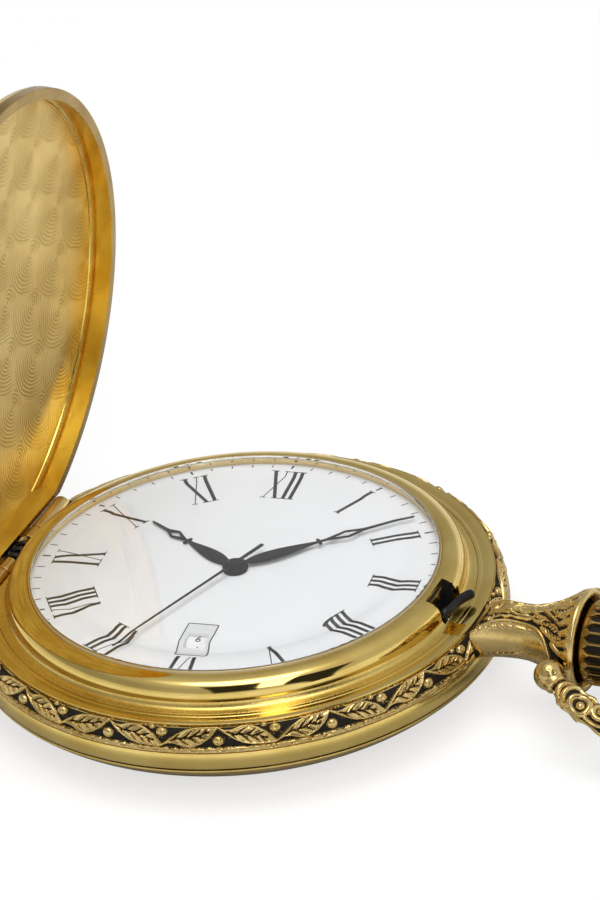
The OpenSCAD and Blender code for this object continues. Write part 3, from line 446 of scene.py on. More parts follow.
def swirled(name, colour, deep):
    """Overlapping rings ground into the lid's floor, row by row, each over the one before."""
    mat, tree, out = blank(name)
    pitch, row_pitch, disc, groove_pitch = 5.4, 4.7, 3.9, 0.36
    place = put(tree, "ShaderNodeAttribute", attribute_name="place").outputs["Vector"]
    x, y = (Num(tree, s) for s in put(tree, "ShaderNodeSeparateXYZ", {0: place}).outputs[:2])
    col, row = (x / pitch).do("FLOOR"), (y / row_pitch).do("FLOOR")
    best = None
    for dj in (-1, 0, 1):
        cell = row + float(dj)
        shift = cell.do("FLOORED_MODULO", 2.0) * 0.5
        for di in (-1, 0, 1):
            dx, dy = x - (col + (di + 0.5) + shift) * pitch, y - (cell + 0.5) * row_pitch
            polar = [(dx * dx + dy * dy).do("SQRT"), dy.do("ARCTAN2", dx)]
            if best:
                inside = polar[0].do("LESS_THAN", disc)
                polar = [inside.do("MULTIPLY_ADD", new - old, old) for new, old in zip(polar, best)]
            best = polar
    wobble = noise(tree, 0.8, 2)
    ring = ((best[0] + wobble * 0.35) * (2 * math.pi / groove_pitch)).do("SINE")
    height = ring.do("MULTIPLY_ADD", 0.5, 0.5) * noise(tree, 0.35, 3).remap(0.35, 0.65, 0.25, 1.0)
    cloud = noise(tree, 0.12, 3).remap(0.35, 0.65, 0.1, 0.6)
    # Painted sheen and shade: the tone gets lighter and darker with the angle round each ring, on top of random tone
    # clouds, and darker down in the grooves.
    painted_sheen_and_clouds = (best[1] * 2.0).do("SINE").do("MULTIPLY_ADD", 0.20, cloud)
    shade(tree, out, height, 0.8, 0.03, {
        "Base Color": (painted_sheen_and_clouds + (1.0 - height) * 0.45).tint(colour, deep), "Metallic": 1.0,
        "Roughness": wobble.remap(0.3, 0.7, 0.36, 0.46)})
    return mat


GOLD_DEEP = (0.72, 0.51, 0.14)
case_gold = metal("case_gold", (0.84, 0.635, 0.21), GOLD_DEEP, scratches=0.4)
polished_gold = metal("polished_gold", (0.86, 0.65, 0.22), GOLD_DEEP, rough=0.055, vary=0.02, bump=0.002)
foot_gold = metal("foot_gold", (0.84, 0.63, 0.20), (0.70, 0.48, 0.12), rough=0.27, scratches=0.6)
ornament_gold = metal("ornament_gold", (0.78, 0.58, 0.24), (0.64, 0.45, 0.15), rough=0.24, bump=0.03, marked_tarnish_and_shade=True)
lid_gold = metal("lid_gold", (0.45, 0.30, 0.09), (0.34, 0.21, 0.05), rough=0.26, scratches=0.3)
lid_outer_gold = metal("lid_outer_gold", (0.80, 0.59, 0.20), (0.70, 0.49, 0.14), rough=0.17, scratches=0.5)
lid_wall_gold = metal("lid_wall_gold", (1.0, 0.74, 0.17), (0.90, 0.56, 0.07), rough=0.17)
lid_floor_gold = swirled("lid_floor_gold", (1.0, 0.79, 0.33), (0.62, 0.43, 0.13))
hinge_gold = metal("hinge_gold", (0.82, 0.60, 0.26), (0.60, 0.38, 0.12), rough=0.2)
crown_gold = metal("crown_gold", (0.46, 0.29, 0.08), (0.26, 0.14, 0.03), rough=0.2, marked_tarnish_and_shade=True)
ring_gold = metal("ring_gold", (0.85, 0.66, 0.33), (0.75, 0.55, 0.24), rough=0.2)
hand_grey = plain("hand_grey", rgb(30, 30, 32), rough=0.55, bump=0.003, scale=4, change=0.2, specular=0.2)
black_metal = metal("black_metal", rgb(40, 39, 40), rgb(26, 25, 26), rough=0.21, metallic=0.5)
steel = metal("steel", rgb(200, 200, 203), rgb(176, 177, 182), rough=0.28, grain=(0.3, 6, 1))
brass = metal("movement_brass", rgb(222, 190, 120), rgb(205, 170, 98), rough=0.3, grain=(6, 0.3, 1))
copper = metal("coil_copper", rgb(214, 140, 90), rgb(190, 112, 66), rough=0.35, grain=(1, 14, 1), bump=0.02)
lacquer = plain("dial_lacquer", (0.86, 0.86, 0.88), rough=0.38, bump=0.002, change=0.02)
figure_white = plain("date_ring_white", (0.86, 0.86, 0.86), rough=0.5, bump=0.004, change=0.02)
ink = plain("print_ink", rgb(24, 24, 26), rough=0.55, bump=0.003, scale=6)
# Painted shade: black for the box in the bezel's notch, which stands in for the shade deep in the notch.
painted_shade_black = plain("painted_shade_black", (0.012, 0.011, 0.012), rough=0.6, specular=0.2)
rubber = plain("gasket_rubber", (0.02, 0.02, 0.02), rough=0.65)
# Painted highlight: the seal's cream colour stands in for a thin pale highlight line round the dial.
gasket = plain("gasket_clear", rgb(205, 192, 158), rough=0.4)
plastic = plain("holder_plastic", rgb(222, 222, 214), rough=0.45, bump=0.02)
board = plain("circuit_green", rgb(36, 96, 58), rough=0.4, bump=0.02, scale=1.0)
crystal_glass = glass("crystal_glass")


# Camera, light and floor

def camera():
    """The photograph's camera, from its axes and its place in mm."""
    cam = bpy.data.cameras.new("camera")
    cam.lens, cam.sensor_fit, cam.sensor_height, cam.clip_start = 200, "VERTICAL", 36, 0.01
    right, down, ahead = (0.9194, 0.3838, -0.0861), (0.1228, -0.4879, -0.8642), (-0.3737, 0.7840, -0.4957)
    turn = Matrix([[right[i], -down[i], -ahead[i]] for i in range(3)]).to_4x4()
    eye = added("camera", cam)
    eye.matrix_world = Matrix.Translation(Vector((169.41, -339.74, 237.49)) * MM) @ turn
    bpy.context.scene.camera = eye


def lamp(name, place, size, power):
    """A round lamp that lights the watch but isn't mirrored in it or seen through its glass."""
    light = bpy.data.lights.new(name, "AREA")
    light.shape, light.size, light.energy = "DISK", size, power
    obj = added(name, light)
    obj.location = place
    obj.rotation_euler = (Vector((0, 0, 0.008)) - Vector(place)).to_track_quat("-Z", "Y").to_euler()
    obj.visible_glossy = obj.visible_transmission = False


def surroundings():
    """White to the camera and straight through the glass, a studio to mirrors, and an even grey to all else."""
    world = bpy.data.worlds.new("studio")
    bpy.context.scene.world = world
    world.use_nodes = True
    tree = world.node_tree
    tree.nodes.clear()
    path = put(tree, "ShaderNodeLightPath").outputs
    first = (Num(tree, path["Diffuse Depth"]) + path["Glossy Depth"]).do("LESS_THAN", 0.5)
    straight = Num(tree, path["Is Transmission Ray"]) * first
    seen = Num(tree, path["Is Camera Ray"]).do("MAXIMUM", straight)
    way = coordinate(tree, "Generated")
    x, _, z = (Num(tree, s) for s in put(tree, "ShaderNodeSeparateXYZ", {0: way}).outputs)

    def reach(direction):
        """How far each direction of the surroundings points along a given one."""
        dot = put(tree, "ShaderNodeVectorMath", {0: way, 1: direction}, operation="DOT_PRODUCT")
        return Num(tree, dot.outputs["Value"])

    def between(value, a, b, soft):
        return value.remap(a - soft, a + soft, 0, 1) * value.remap(b - soft, b + soft, 1, 0)

    front, across, above = reach((0.430, -0.903, 0.0)), reach((0.903, 0.430, 0.0)), reach((0.0, -0.02, 1.0))
    band = x.remap(-0.6, 0.6, 0.34, 0.60) + z.remap(0.34, 0.08, 0.0, 0.45) + z.remap(0.70, 0.95, 0.0, 0.22)
    for spread, soft, level in ((0.945, 0.025, 1.25), (0.972, 0.008, 4.0)):
        band = above.remap(spread - soft, spread + soft, 0, 1).blend(band, level)
    for a, b, near, far, level in (
            (0.08, 0.28, 0.28, 0.85, 3.2), (-0.26, 0.08, 0.36, 0.93, 0.03), (0.28, 0.66, 0.36, 0.88, 0.03)):
        band = (between(across, a, b, 0.012) * between(front, near, far, 0.025)).blend(band, level)
    strength = seen.blend(Num(tree, path["Is Glossy Ray"]).blend(0.36, band), 1.0)
    back = put(tree, "ShaderNodeBackground", {"Color": (1, 1, 1), "Strength": strength})
    tree.links.new(back.outputs[0], put(tree, "ShaderNodeOutputWorld").inputs[0])


def floor():
    """White ground that shows soft shadows near the watch, and painted shade near the watch that only mirror rays see.
    """
    mat, tree, out = blank("floor_white")
    at = put(tree, "ShaderNodeVectorMath", {0: coordinate(tree, "Object")}, operation="LENGTH").outputs["Value"]
    at, path = Num(tree, at), put(tree, "ShaderNodeLightPath").outputs
    camera_ray = path["Is Camera Ray"]
    # Painted shade: to mirror rays the floor is 0.4 grey within 30 mm of the dial's axis, easing back to 0.9 grey by 60
    # mm.
    under = Num(tree, path["Is Glossy Ray"]) * at.remap(0.03, 0.06, 1, 0)
    paper = put(tree, "ShaderNodeBsdfDiffuse", {"Color": under.tint((0.9, 0.9, 0.9), (0.4, 0.4, 0.4))})
    thin = put(tree, "ShaderNodeBsdfDiffuse", {"Color": (0.34, 0.34, 0.34)})
    glow = put(tree, "ShaderNodeEmission", {"Color": (1, 1, 1), "Strength": 0.68})
    plainly = put(tree, "ShaderNodeAddShader", {0: thin.outputs[0], 1: glow.outputs[0]})
    near = put(tree, "ShaderNodeMixShader", {0: camera_ray, 1: paper.outputs[0], 2: plainly.outputs[0]})
    white = put(tree, "ShaderNodeEmission", {"Color": (1, 1, 1), "Strength": 1.0})
    shown = at.remap(0.07, 0.22, 0, 1, interpolation_type="SMOOTHSTEP") * camera_ray
    mixed = put(tree, "ShaderNodeMixShader", {0: shown, 1: near.outputs[0], 2: white.outputs[0]})
    tree.links.new(mixed.outputs[0], out.inputs[0])
    piece("floor", *revolve([(r, -0.02) for r in (0, 60, 150, 400, 1500)], 96), mat, fix=False)


bpy.context.scene.view_settings.view_transform = "Standard"
camera()
lamp("key", (0.02, -0.02, 0.60), 0.50, 2.0)
lamp("fill", (0.25, -0.40, 0.45), 0.40, 1.5)
surroundings()
floor()


# Relief drawn with strokes and leaves

class Relief:
    """A field of heights over x and y that strokes, leaves and rounds are raised on."""

    def __init__(self, x, y):
        self.x, self.y, self.field = x, y, np.zeros(x.shape)

    def top(self, height):
        np.maximum(self.field, height, out=self.field)

    def stroke(self, line, w0, w1, top=1.0, groove=0.0):
        """Raises a rounded ridge along a line of points, its half width going from w0 to w1."""
        line = np.array(line, float)
        wide = max(w0, w1)
        near = (self.x > line[:, 0].min() - wide) & (self.x < line[:, 0].max() + wide)
        near &= (self.y > line[:, 1].min() - wide) & (self.y < line[:, 1].max() + wide)
        if not near.any():
            return
        px, py, best = self.x[near], self.y[near], np.zeros(int(near.sum()))
        steps = np.r_[0, np.cumsum(np.hypot(*np.diff(line, axis=0).T))]
        for k, (x, y) in enumerate(line[:-1]):
            d = line[k + 1] - line[k]
            t = np.clip(((px - x) * d[0] + (py - y) * d[1]) / max(d @ d, 1e-9), 0, 1)
            w = w0 + (w1 - w0) * (steps[k] + t * (steps[k + 1] - steps[k])) / steps[-1]
            off = np.hypot(px - x - t * d[0], py - y - t * d[1]) / w
            h = top * hump(off)
            if groove:
                h = h * (1 - groove * (1 - smoothstep(0.0, 0.3, off)))
            best = np.maximum(best, h)
        self.field[near] = np.maximum(self.field[near], best)

    def leaf(self, a, b, half, vein=0.42):
        """Raises a veined leaf with a raised border that lies from a to b."""
        a, b = np.array(a, float), np.array(b, float)
        length = float(np.hypot(*(b - a)))
        c, s = (b - a) / length
        mx, my = self.x - (a[0] + b[0]) / 2, self.y - (a[1] + b[1]) / 2
        u, v = mx * c + my * s, -mx * s + my * c
        along = np.clip(u / length + 0.5, 0, 1)
        width = (half * np.sin(np.pi * along ** 0.8) ** 0.85 + 1e-6) * (1 + 0.05 * np.sin(along * 34))
        k = np.abs(v) / width
        body = 0.78 + 0.22 * smoothstep(0.55, 0.8, k) - 0.55 * smoothstep(0.86, 1.0, k)
        body = body * (0.55 + 0.45 * smoothstep(0, 0.12, along) * smoothstep(0, 0.10, 1 - along))
        midrib = 1 - smoothstep(0.04, 0.11, np.abs(v + 0.05 * np.sin(3 * along * np.pi)))
        phase = np.mod(u - np.abs(v) * 1.35 + (v > 0) * 0.22, vein)
        side_vein = 1 - smoothstep(0.05, 0.12, np.abs(phase - vein / 2) * (1 + 0.6 * k))
        side_vein = side_vein * (k < 0.72) * (along > 0.14) * (along < 0.84)
        body = body - 0.8 * np.maximum(midrib * (along > 0.06) * (along < 0.93), side_vein * 0.9)
        self.top(np.where((np.abs(u) < length / 2) & (k < 1.0), body, 0))

    def ring(self, x, y, r, w):
        self.top(hump((np.hypot(self.x - x, self.y - y) - r) / w))

    def dot(self, x, y, r):
        self.top(1.1 * hump(np.hypot(self.x - x, self.y - y) / r))


# Case

BELLY = bend((CASE_R - 0.15, BACK_H), (CASE_R + 0.26, BACK_H + 0.8), (CASE_R - 0.04, RIM_Z - 0.06), 16)
SHOULDER = np.array(bend((LAND_R + 0.12, FLANGE_Z - 0.03), (CASE_R - 0.05, FLANGE_Z - 0.30), (CASE_R, RIM_Z), 60))
HINGE_CUT = block(-CASE_R - 3, HINGE_X + 0.95, -HINGE_Y, HINGE_Y, HINGE_LOW, FLANGE_Z + 3)
CATCH_SLOT = block(FOOT_R - 0.5, FOOT_R + 1.0, -3.3, -1.4, FLANGE_Z - 0.7, FLANGE_Z + 0.4)


def build_band():
    land = around(CASE_R, RIM_Z, (-0.12, -0.03), (-0.45, -0.02)) + [(CASE_R - 0.5, 7.0)]
    land += around(LAND_R, FLANGE_Z, (0.2, -0.5), (0.02, -0.12), (0, 0))
    land += around(0, FLANGE_Z, (22.22, 0), (22.18, -0.02), (21.90, -0.02), (21.83, -0.04), (21.76, 0))
    land += around(FOOT_R, FLANGE_Z, (0.05, 0), (0.025, -0.03), (0.025, -0.35))
    land += [(BORE_R, FLANGE_Z - 0.35), (BORE_R, BACK_H + 0.01)]
    line = around(CASE_R, BACK_H, (-0.55, 0.01), (-0.22, 0.04)) + BELLY[1:] + soften(land, 0.03, n=3)
    band = piece("band_body", *revolve(line, SPIN, closed=True), case_gold)
    carve(band, HINGE_CUT, CATCH_SLOT, rod_x(0.48, 20, 25))
    settle(band, "case", ["case_band"])
    length = 5.4
    for name, side in (("low", -1), ("high", 1)):
        y0, y1 = sorted((side * HINGE_HALF, side * (HINGE_HALF - length)))
        knuckle = piece(f"case_knuckle_{name}", *rod_y(HINGE_X, HINGE_Z, KNUCKLE_R, y0, y1), hinge_gold)
        web = block(HINGE_X - KNUCKLE_R, HINGE_X + KNUCKLE_R, y0 + 0.02, y1 - 0.02, HINGE_Z - 0.98, HINGE_Z)
        carve(knuckle, ("UNION", web), rod_y(HINGE_X, HINGE_Z, 0.34, y0 - 1, y1 + 1))
        settle(knuckle, "case")


# A leaf's upper and lower outline, along the band and across it
UPPER = (-2.62, -1.9, -1.3, -0.5, 0.2, 1.1, 1.9, 2.62), (1.12, 0.70, 0.72, 1.06, 1.12, 0.72, 0.10, -0.98)
LOWER = (-2.62, -2.0, -1.2, -0.4, 0.4, 1.4, 2.62), (0.95, 0.34, -0.30, -0.78, -1.02, -1.08, -1.10)


def eased(curve, s, window=9):
    """A curve over s with its corners smoothed away, and its slope."""
    q = np.linspace(-2.9, 2.9, 146)
    line = np.interp(q, *curve)
    line = np.convolve(np.pad(line, window // 2, "edge"), np.ones(window) / window, "valid")
    return np.interp(s, q, line), np.interp(s, q, np.gradient(line, q))


def leaf_relief(s, t):
    """Height, from 0 on the ground to 1, of one leaf from its stalk at the upper left to its tip at the lower right."""
    upper, rise = eased(UPPER, s)
    lower, fall = eased(LOWER, s)
    d = np.minimum((upper - t) / np.hypot(1, rise), (t - lower) / np.hypot(1, fall))
    border = hump((d - 0.13) / 0.15)
    q = np.linspace(-2.62, 2.62, 12)
    middle, tilt = eased((q, np.interp(q, *UPPER) * 0.48 + np.interp(q, *LOWER) * 0.52), s)
    m = (t - middle) / np.hypot(1, tilt) + 0.05 * np.sin(5.2 * s)
    k = np.abs(m) / ((upper - lower) / 2 + 1e-6)
    pitch, side = 0.86, 0.78
    q = np.mod(s - np.abs(m) * 1.25 + (m > 0) * 0.38 + 0.1, pitch) - pitch / 2
    vein = smoothstep(0.03, 0, np.abs(q) - 0.13 * np.clip(1 - k / side, 0, 1))
    rib = smoothstep(0.03, 0, np.abs(m) - 0.055 * (1 + 0.5 * np.sin(9 * s)))
    dark = np.maximum(rib, vein * (k < side)) * smoothstep(0.15, 0.24, d)
    dark = dark * smoothstep(-1.9, -1.5, s) * smoothstep(2.0, 1.6, s)
    body = np.where(d > 0.13, np.maximum(border, 0.80 + 0.08 * np.cos(7 * q)), border)
    return np.where(d > 0, body - 0.85 * dark, 0)


def band_relief(a, t, half):
    """Height of the band's leaves, beads and ragged rim over the angle a in degrees and t across."""
    leaf_angle, leaf_shift, turn = 12, 1.15, np.radians(a)
    place = a - leaf_shift
    cell, junction = np.floor(place / leaf_angle), np.round(place / leaf_angle)
    q = (t - 0.20) / 0.90
    s = np.radians(place - (cell + 0.5) * leaf_angle) * CASE_R
    height = leaf_relief(s, np.where(np.mod(cell, 2) == 0, q, -q))
    sj = np.radians(place - junction * leaf_angle) * CASE_R
    low_bead = np.mod(junction, 2) == 0
    bead_t = np.where(low_bead, -0.46, 0.46)
    d = np.hypot(sj, q - bead_t) / 0.54
    bead = hump(d) * 1.25
    pit = 0.25 * (1 - smoothstep(0.1, 0.2, np.hypot(sj + 0.05, q - bead_t)))
    height = np.maximum(height, np.where(low_bead, 0, 0.85 * hump(np.hypot(sj + 0.93, q - 0.98) / 0.30)))
    height = np.where(bead > 0, np.maximum(bead - pit * (bead > 0.9), 0), height * smoothstep(0.98, 1.16, d))
    height = np.maximum(height, smoothstep(half - 0.10, half - 0.03, t))
    rim = smoothstep(-half + 0.52, -half + 0.44, t + 0.07 * ripple(turn, 0, 5, low=1, high=8))
    crease = 0.5 * smoothstep(0.09, 0.03, np.abs(t + half - 0.26 - 0.05 * ripple(turn, 0, 8, low=2, high=12)))
    crease = crease * smoothstep(-0.1, 0.35, ripple(turn, 0, 14, low=1, high=4))
    height = np.maximum(height, rim * (0.97 - crease)) + 0.03 * ripple(turn, t * 6, 9, n=12, low=2, high=12)
    height = np.where(height < 0.12, 0.05 * np.random.default_rng(3).random(height.shape), height)
    return height * (1 - smoothstep(3.4, 2.6, np.abs(GROUND_R * np.sin(turn))) * (np.abs(a) < 90))


def build_leaf_band():
    """Leaves and beads chased into the rounded shoulder of the band, over a ragged gold rim."""
    columns, rows = 2400, 60
    edge = math.degrees(math.asin(HINGE_Y / GROUND_R))
    run = np.r_[0, np.cumsum(np.hypot(*np.diff(SHOULDER, axis=0).T))]
    even = np.linspace(0, run[-1], rows)
    path = np.stack([np.interp(even, run, SHOULDER[:, 0]), np.interp(even, run, SHOULDER[:, 1])], 1)[::-1]
    along = np.gradient(path, axis=0)
    out = np.stack([along[:, 1], -along[:, 0]], 1) / np.hypot(*along.T)[:, None]
    half = run[-1] / 2
    a, t = np.meshgrid(np.linspace(-180 + edge, 180 - edge, columns), even - half, indexing="ij")
    height = band_relief(a, t, half)
    sink = 0.33 * (np.clip(height, 0, 1.25) - 1)
    sink[:, 0] = sink[:, -1] = -0.08
    radius, level = path[:, 0] + out[:, 0] * sink, path[:, 1] + out[:, 1] * sink
    c, sn = np.cos(np.radians(a)), np.sin(np.radians(a))
    inner = [np.stack([r * c[:, 0], r * sn[:, 0], np.full(columns, z)], -1)[:, None]
             for r, z in ((LAND_R - 0.02, FLANGE_Z - 0.1), (CASE_R - 0.55, 6.9), (CASE_R - 0.5, RIM_Z + 0.01))]
    shell = np.concatenate([np.stack([radius * c, radius * sn, level], -1)] + inner, 1)
    mark = np.concatenate([np.clip(height, 0, 1), np.zeros((columns, len(inner)))], 1)
    piece("leaf_band", shell.reshape(-1, 3), grid_faces(columns, shell.shape[1], wrap_v=True, caps=True), ornament_gold,
          "case", slot="case_gold", sharp=70, marks=mark)


def build_back():
    rest = 15.0
    line = [(r, 0) for r in (0, 3, 6, 9, 12, 14)]
    line += bend((rest, 0), ((rest + CASE_R) / 2 + 1.0, 0.25), (CASE_R - 0.35, BACK_H - 0.5), 28)
    line += around(CASE_R, BACK_H, (-0.14, -0.24), (-0.16, -0.12), (-0.24, -0.06), (-0.55, -0.04))
    line += around(BORE_R, BACK_H, (0.9, -0.02), (0.9, -0.4), (0.2, -0.4), (0.2, 0), (-0.04, 0), (-0.04, 0.7),
                 (-0.8, 0.7), (-0.8, -0.9))
    line += bend((BORE_R - 1.2, BACK_H - 2.1), ((rest + BORE_R) / 2, 0.65), (rest - 0.2, 0.55), 10) + [(0, 0.55)]
    piece("back_shell", *revolve(line, SPIN), case_gold, "case", ["back_cover"], "case_gold")
    r0, r1, z0, z1 = CASE_R - 0.54, CASE_R - 0.2, BACK_H - 0.04, BACK_H + 0.01
    seam = [(r0, z0), (r1, z0), (r1 + 0.02, z0 + 0.03), (r1, z1), (r0, z1)]
    piece("seam_line", *revolve(seam, closed=True), black_metal, "case", slot="antique_gold")


def build_bezel():
    """A polished dome with a fillet down to its flat foot, and room for the shut lid, the catch and its hook."""
    line = [(SEAT_R, SUNK_Z), (SEAT_R, GLASS_Z - 0.15), (VIEW_R, GLASS_Z - 0.15), (VIEW_R, CREST_Z - 0.1),
            (VIEW_R + 0.08, CREST_Z - 0.02)]
    line += bend((18.65, CREST_Z), (DOME_R - 0.10, CREST_Z - 0.07), (DOME_R - 0.04, FLANGE_Z + 0.70), 28)
    line += bend((DOME_R - 0.03, FLANGE_Z + 0.60), (DOME_R + 0.03, FLANGE_Z + 0.04),
                 (FOOT_R - 0.30, FLANGE_Z + 0.02), 12)
    foot = around(FOOT_R, FLANGE_Z, (-0.2, 0), (-0.03, 0), (0, -0.03), (0, -0.35))
    line += soften(foot + [(BORE_R - 0.03, FLANGE_Z - 0.35), (BORE_R - 0.03, SUNK_Z)], 0.05)
    bezel = piece("bezel_ring", *revolve(line, SPIN, closed=True), case_gold)
    notch = block(NOTCH_X, DOME_R + 0.2, -1.95, 1.95, SUNK_Z - 1, CREST_Z + 1)
    slot = block(HINGE_X - 4, HINGE_X + 0.95, -HINGE_Y, HINGE_Y, HINGE_LOW, FLANGE_Z + 0.3)
    flat = block(HINGE_X - 4, CHORD_X + 0.03, -HINGE_HALF - 0.2, HINGE_HALF + 0.2, FLANGE_Z + 0.22, CREST_Z + 1)
    hook_room = block(DOME_R - 0.55, DOME_R + 0.15, 1.9, 2.5, FLANGE_Z + 0.2, CATCH_Z + 0.65)
    carve(bezel, notch, slot, CATCH_SLOT, flat, hook_room)
    repaint(bezel, polished_gold, foot_gold)
    for face in bezel.data.polygons:
        c = face.center / MM
        face.material_index = int(math.hypot(c.x, c.y) > DOME_R - 0.02 and c.z < FLANGE_Z + 0.55)
    settle(bezel, "case", ["bezel"])
    # Painted shade: a thin-walled black box fills the notch, where the real notch is dark only from its depth.
    x0, x1, y1, z0 = NOTCH_X + 0.02, DOME_R - 0.5, 1.93, SUNK_Z + 0.25
    shade_box = piece("notch_painted_shade", *block(x0, x1, -y1, y1, z0, GLASS_Z + 0.05), painted_shade_black)
    carve(shade_box, block(x0 + 0.03, x1 + 1, -y1 + 0.05, y1 - 0.05, z0 + 0.05, GLASS_Z + 1),
          rod_x(1.3, NOTCH_X + 0.7, x1 + 1), block(x0 + 0.22, x1 + 1, -1.75, -0.85, z0 - 1, GLASS_Z + 1))
    settle(shade_box, "case")


def repaint(obj, *materials):
    obj.data.materials.clear()
    for material in materials:
        obj.data.materials.append(material)


# Slope in degrees of the crystal's top at these radii
ROLL_AT = (14.2, 14.9, 15.8, 16.6, 18.2)
ROLL_SLOPE = (0.0, 5.5, 8.4, 3.0, -0.5)


def crystal_top():
    """Points of the crystal's top from its middle outwards."""
    r = np.linspace(ROLL_AT[0] - 0.1, VIEW_R - 0.3, 60)
    slope = np.tan(np.radians(np.interp(r, ROLL_AT, ROLL_SLOPE)))
    z = GLASS_TOP - np.r_[0, np.cumsum((slope[1:] + slope[:-1]) / 2 * np.diff(r))]
    return [(0.0, GLASS_TOP)] + list(zip(r.tolist(), z.tolist()))


def build_crystal():
    r, top = VIEW_R - 0.2, crystal_top()
    edge = top[-1][1]
    line = [(0, GLASS_Z), (r - 0.05, GLASS_Z), (r, GLASS_Z + 0.05), (r, edge - 0.06), (r - 0.04, edge - 0.015)]
    piece("crystal_disc", *revolve(line + top[::-1]), crystal_glass, "case", ["crystal"], "crystal", sharp=5)


# Lid

TO_HINGE = Matrix.Translation((HINGE_X * MM, 0, HINGE_Z * MM))
OPENED = TO_HINGE @ Matrix.Rotation(math.radians(-LID_OPEN), 4, "Y") @ TO_HINGE.inverted()


def build_lid():
    """A shell with a chord wall at the hinge, modelled shut and swung open."""
    deep = LID_Z + LID_DEPTH
    top = deep + LID_T + LID_RISE
    inside = [(0, LID_Z - 1), (LID_IN, LID_Z - 1), (LID_IN, LID_Z)]
    inside += around(LID_IN, deep, (0.28, 0), (0.05, 0.12), (-0.08, 0.10), (-0.12, -0.02), (-0.20, -0.06),
                   (-0.30, -0.02), (-0.34, 0.10))
    inside += bend((LID_IN - 0.45, deep + 0.12), (LID_IN * 0.55, deep + LID_RISE), (0, deep + LID_RISE), 30)
    outside = [(0, LID_Z)] + around(LID_OUT, LID_Z, (-0.07, 0), (0, 0.07), (0, 0.9))
    outside += bend((LID_OUT - 0.03, LID_Z + 1.15), (LID_OUT - 0.6, deep + 0.7),
                    (LID_IN - 2.2, deep + LID_T + 0.45), 10)
    crown = bend((LID_IN - 3.2, deep + LID_T + 0.62), (LID_IN * 0.5, top), (0, top), 160)
    rings, ringed = (17.2, 17.75, 18.3), 16.5
    outside += [(r, z - 0.06 * sum(math.exp(-((r - g) / 0.13) ** 2) for g in rings)) for r, z in crown if r > ringed]
    outside += [(r, z) for r, z in crown if r <= ringed][::6] + [crown[-1]]
    lid = piece("lid_shell", *revolve(outside, SPIN), lid_gold)
    carve(lid, ("INTERSECT", block(CHORD_X - CHORD_T, 60, -40, 40, -5, 60)))
    hollow = piece("hollow", *revolve(inside, SPIN), lid_gold)
    carve(hollow, ("INTERSECT", block(CHORD_X, 60, -40, 40, -5, 60)))
    carve(lid, ("DIFFERENCE", hollow), sharp=30)
    mesh = lid.data
    repaint(lid, lid_gold, lid_wall_gold, lid_floor_gold, lid_outer_gold)
    for face in mesh.polygons:
        c = face.center / MM
        inner = math.hypot(c.x, c.y) < LID_IN + 0.29 and c.x > CHORD_X - 0.02 and c.z > LID_Z + 0.01
        up = abs(face.normal.z) > 0.5
        if inner and not up and c.z < deep + 0.12:
            face.material_index = 1
        elif inner and up and c.z < deep + LID_RISE + 0.05 and face.normal.z < 0:
            face.material_index = 2
        elif c.z > LID_Z + 1.0:
            face.material_index = 3
    co = np.zeros(len(mesh.vertices) * 3, np.float32)
    mesh.vertices.foreach_get("co", co)
    mesh.attributes.new("place", "FLOAT_VECTOR", "POINT").data.foreach_set("vector", co / MM)
    mesh.transform(OPENED)
    settle(lid, "cover", ["front_cover"])


# Dial print and date

DIAL_MATRIX = np.array(Matrix.Rotation(math.radians(DIAL_TURN), 3, "Z"))
THICK, THIN, SERIF = 0.34, 0.10, 0.10
# Strokes of each letter as (x of its foot, x of its top, width, half of its serif), and the letter's width
LETTERS = {
    "I": ([(0.335, 0.335, THICK, 0.36)], 0.67),
    "V": ([(0.88, 0.30, THICK, 0.38), (0.90, 1.50, THIN, 0.28)], 1.80),
    "X": ([(1.50, 0.36, THICK, 0.38), (0.36, 1.50, THIN, 0.28)], 1.90),
}


def prisms(shapes, z0, heights):
    """Points and faces of flat convex shapes raised from z0, each by its own height."""
    points, faces = [], []
    for shape, h in zip(shapes, heights):
        n, k = len(shape), len(points)
        area = sum(shape[i - 1][0] * shape[i][1] - shape[i][0] * shape[i - 1][1] for i in range(n))
        shape = shape if area > 0 else shape[::-1]
        points += [(x, y, z) for z in (z0, z0 + h) for x, y in shape]
        faces += [[k + n + i for i in range(n)], [k + i for i in range(n)][::-1]]
        faces += [[k + i, k + (i + 1) % n, k + n + (i + 1) % n, k + n + i] for i in range(n)]
    return points, faces


def bar(x0, x1, h, w, low):
    """One stroke from (x0, 0) to (x1, h), cut off below low."""
    xl = x0 + (x1 - x0) * low / h
    return [(xl - w / 2, low), (xl + w / 2, low), (x1 + w / 2, h), (x1 - w / 2, h)]


def serif(x, y, half):
    return [(x - half, y), (x + half, y), (x + half, y + SERIF), (x - half, y + SERIF)]


def numeral(text, h, low):
    """Strokes of a Roman numeral of height h round x = 0, with nothing below low, as (shape, layer)."""
    shapes, x = [], 0.0
    for letter in text:
        strokes, step = LETTERS[letter]
        shapes += [(bar(x + foot, x + top, h, w, low), n) for n, (foot, top, w, _) in enumerate(strokes)]
        for foot, top, _, half in strokes:
            shapes.append((serif(x + top, h - SERIF, half), 2))
            if letter != "V" and low == 0:
                shapes.append((serif(x + foot, 0, half), 2))
        x += step
    return [([(px - x / 2, py) for px, py in shape], layer) for shape, layer in shapes]


def on_dial(shape, clock, radius):
    """A shape drawn with its top outwards, moved to a clock angle and radius."""
    a = math.radians(90 - clock + DIAL_TURN)
    out, side = np.array([math.cos(a), math.sin(a)]), np.array([math.sin(a), -math.cos(a)])
    return [tuple(side * x + out * (radius + y)) for x, y in shape]


def printed(name, shapes, z, heights):
    piece(name, *prisms(shapes, z, heights), ink, "case", slot="hand_black", fix=False)


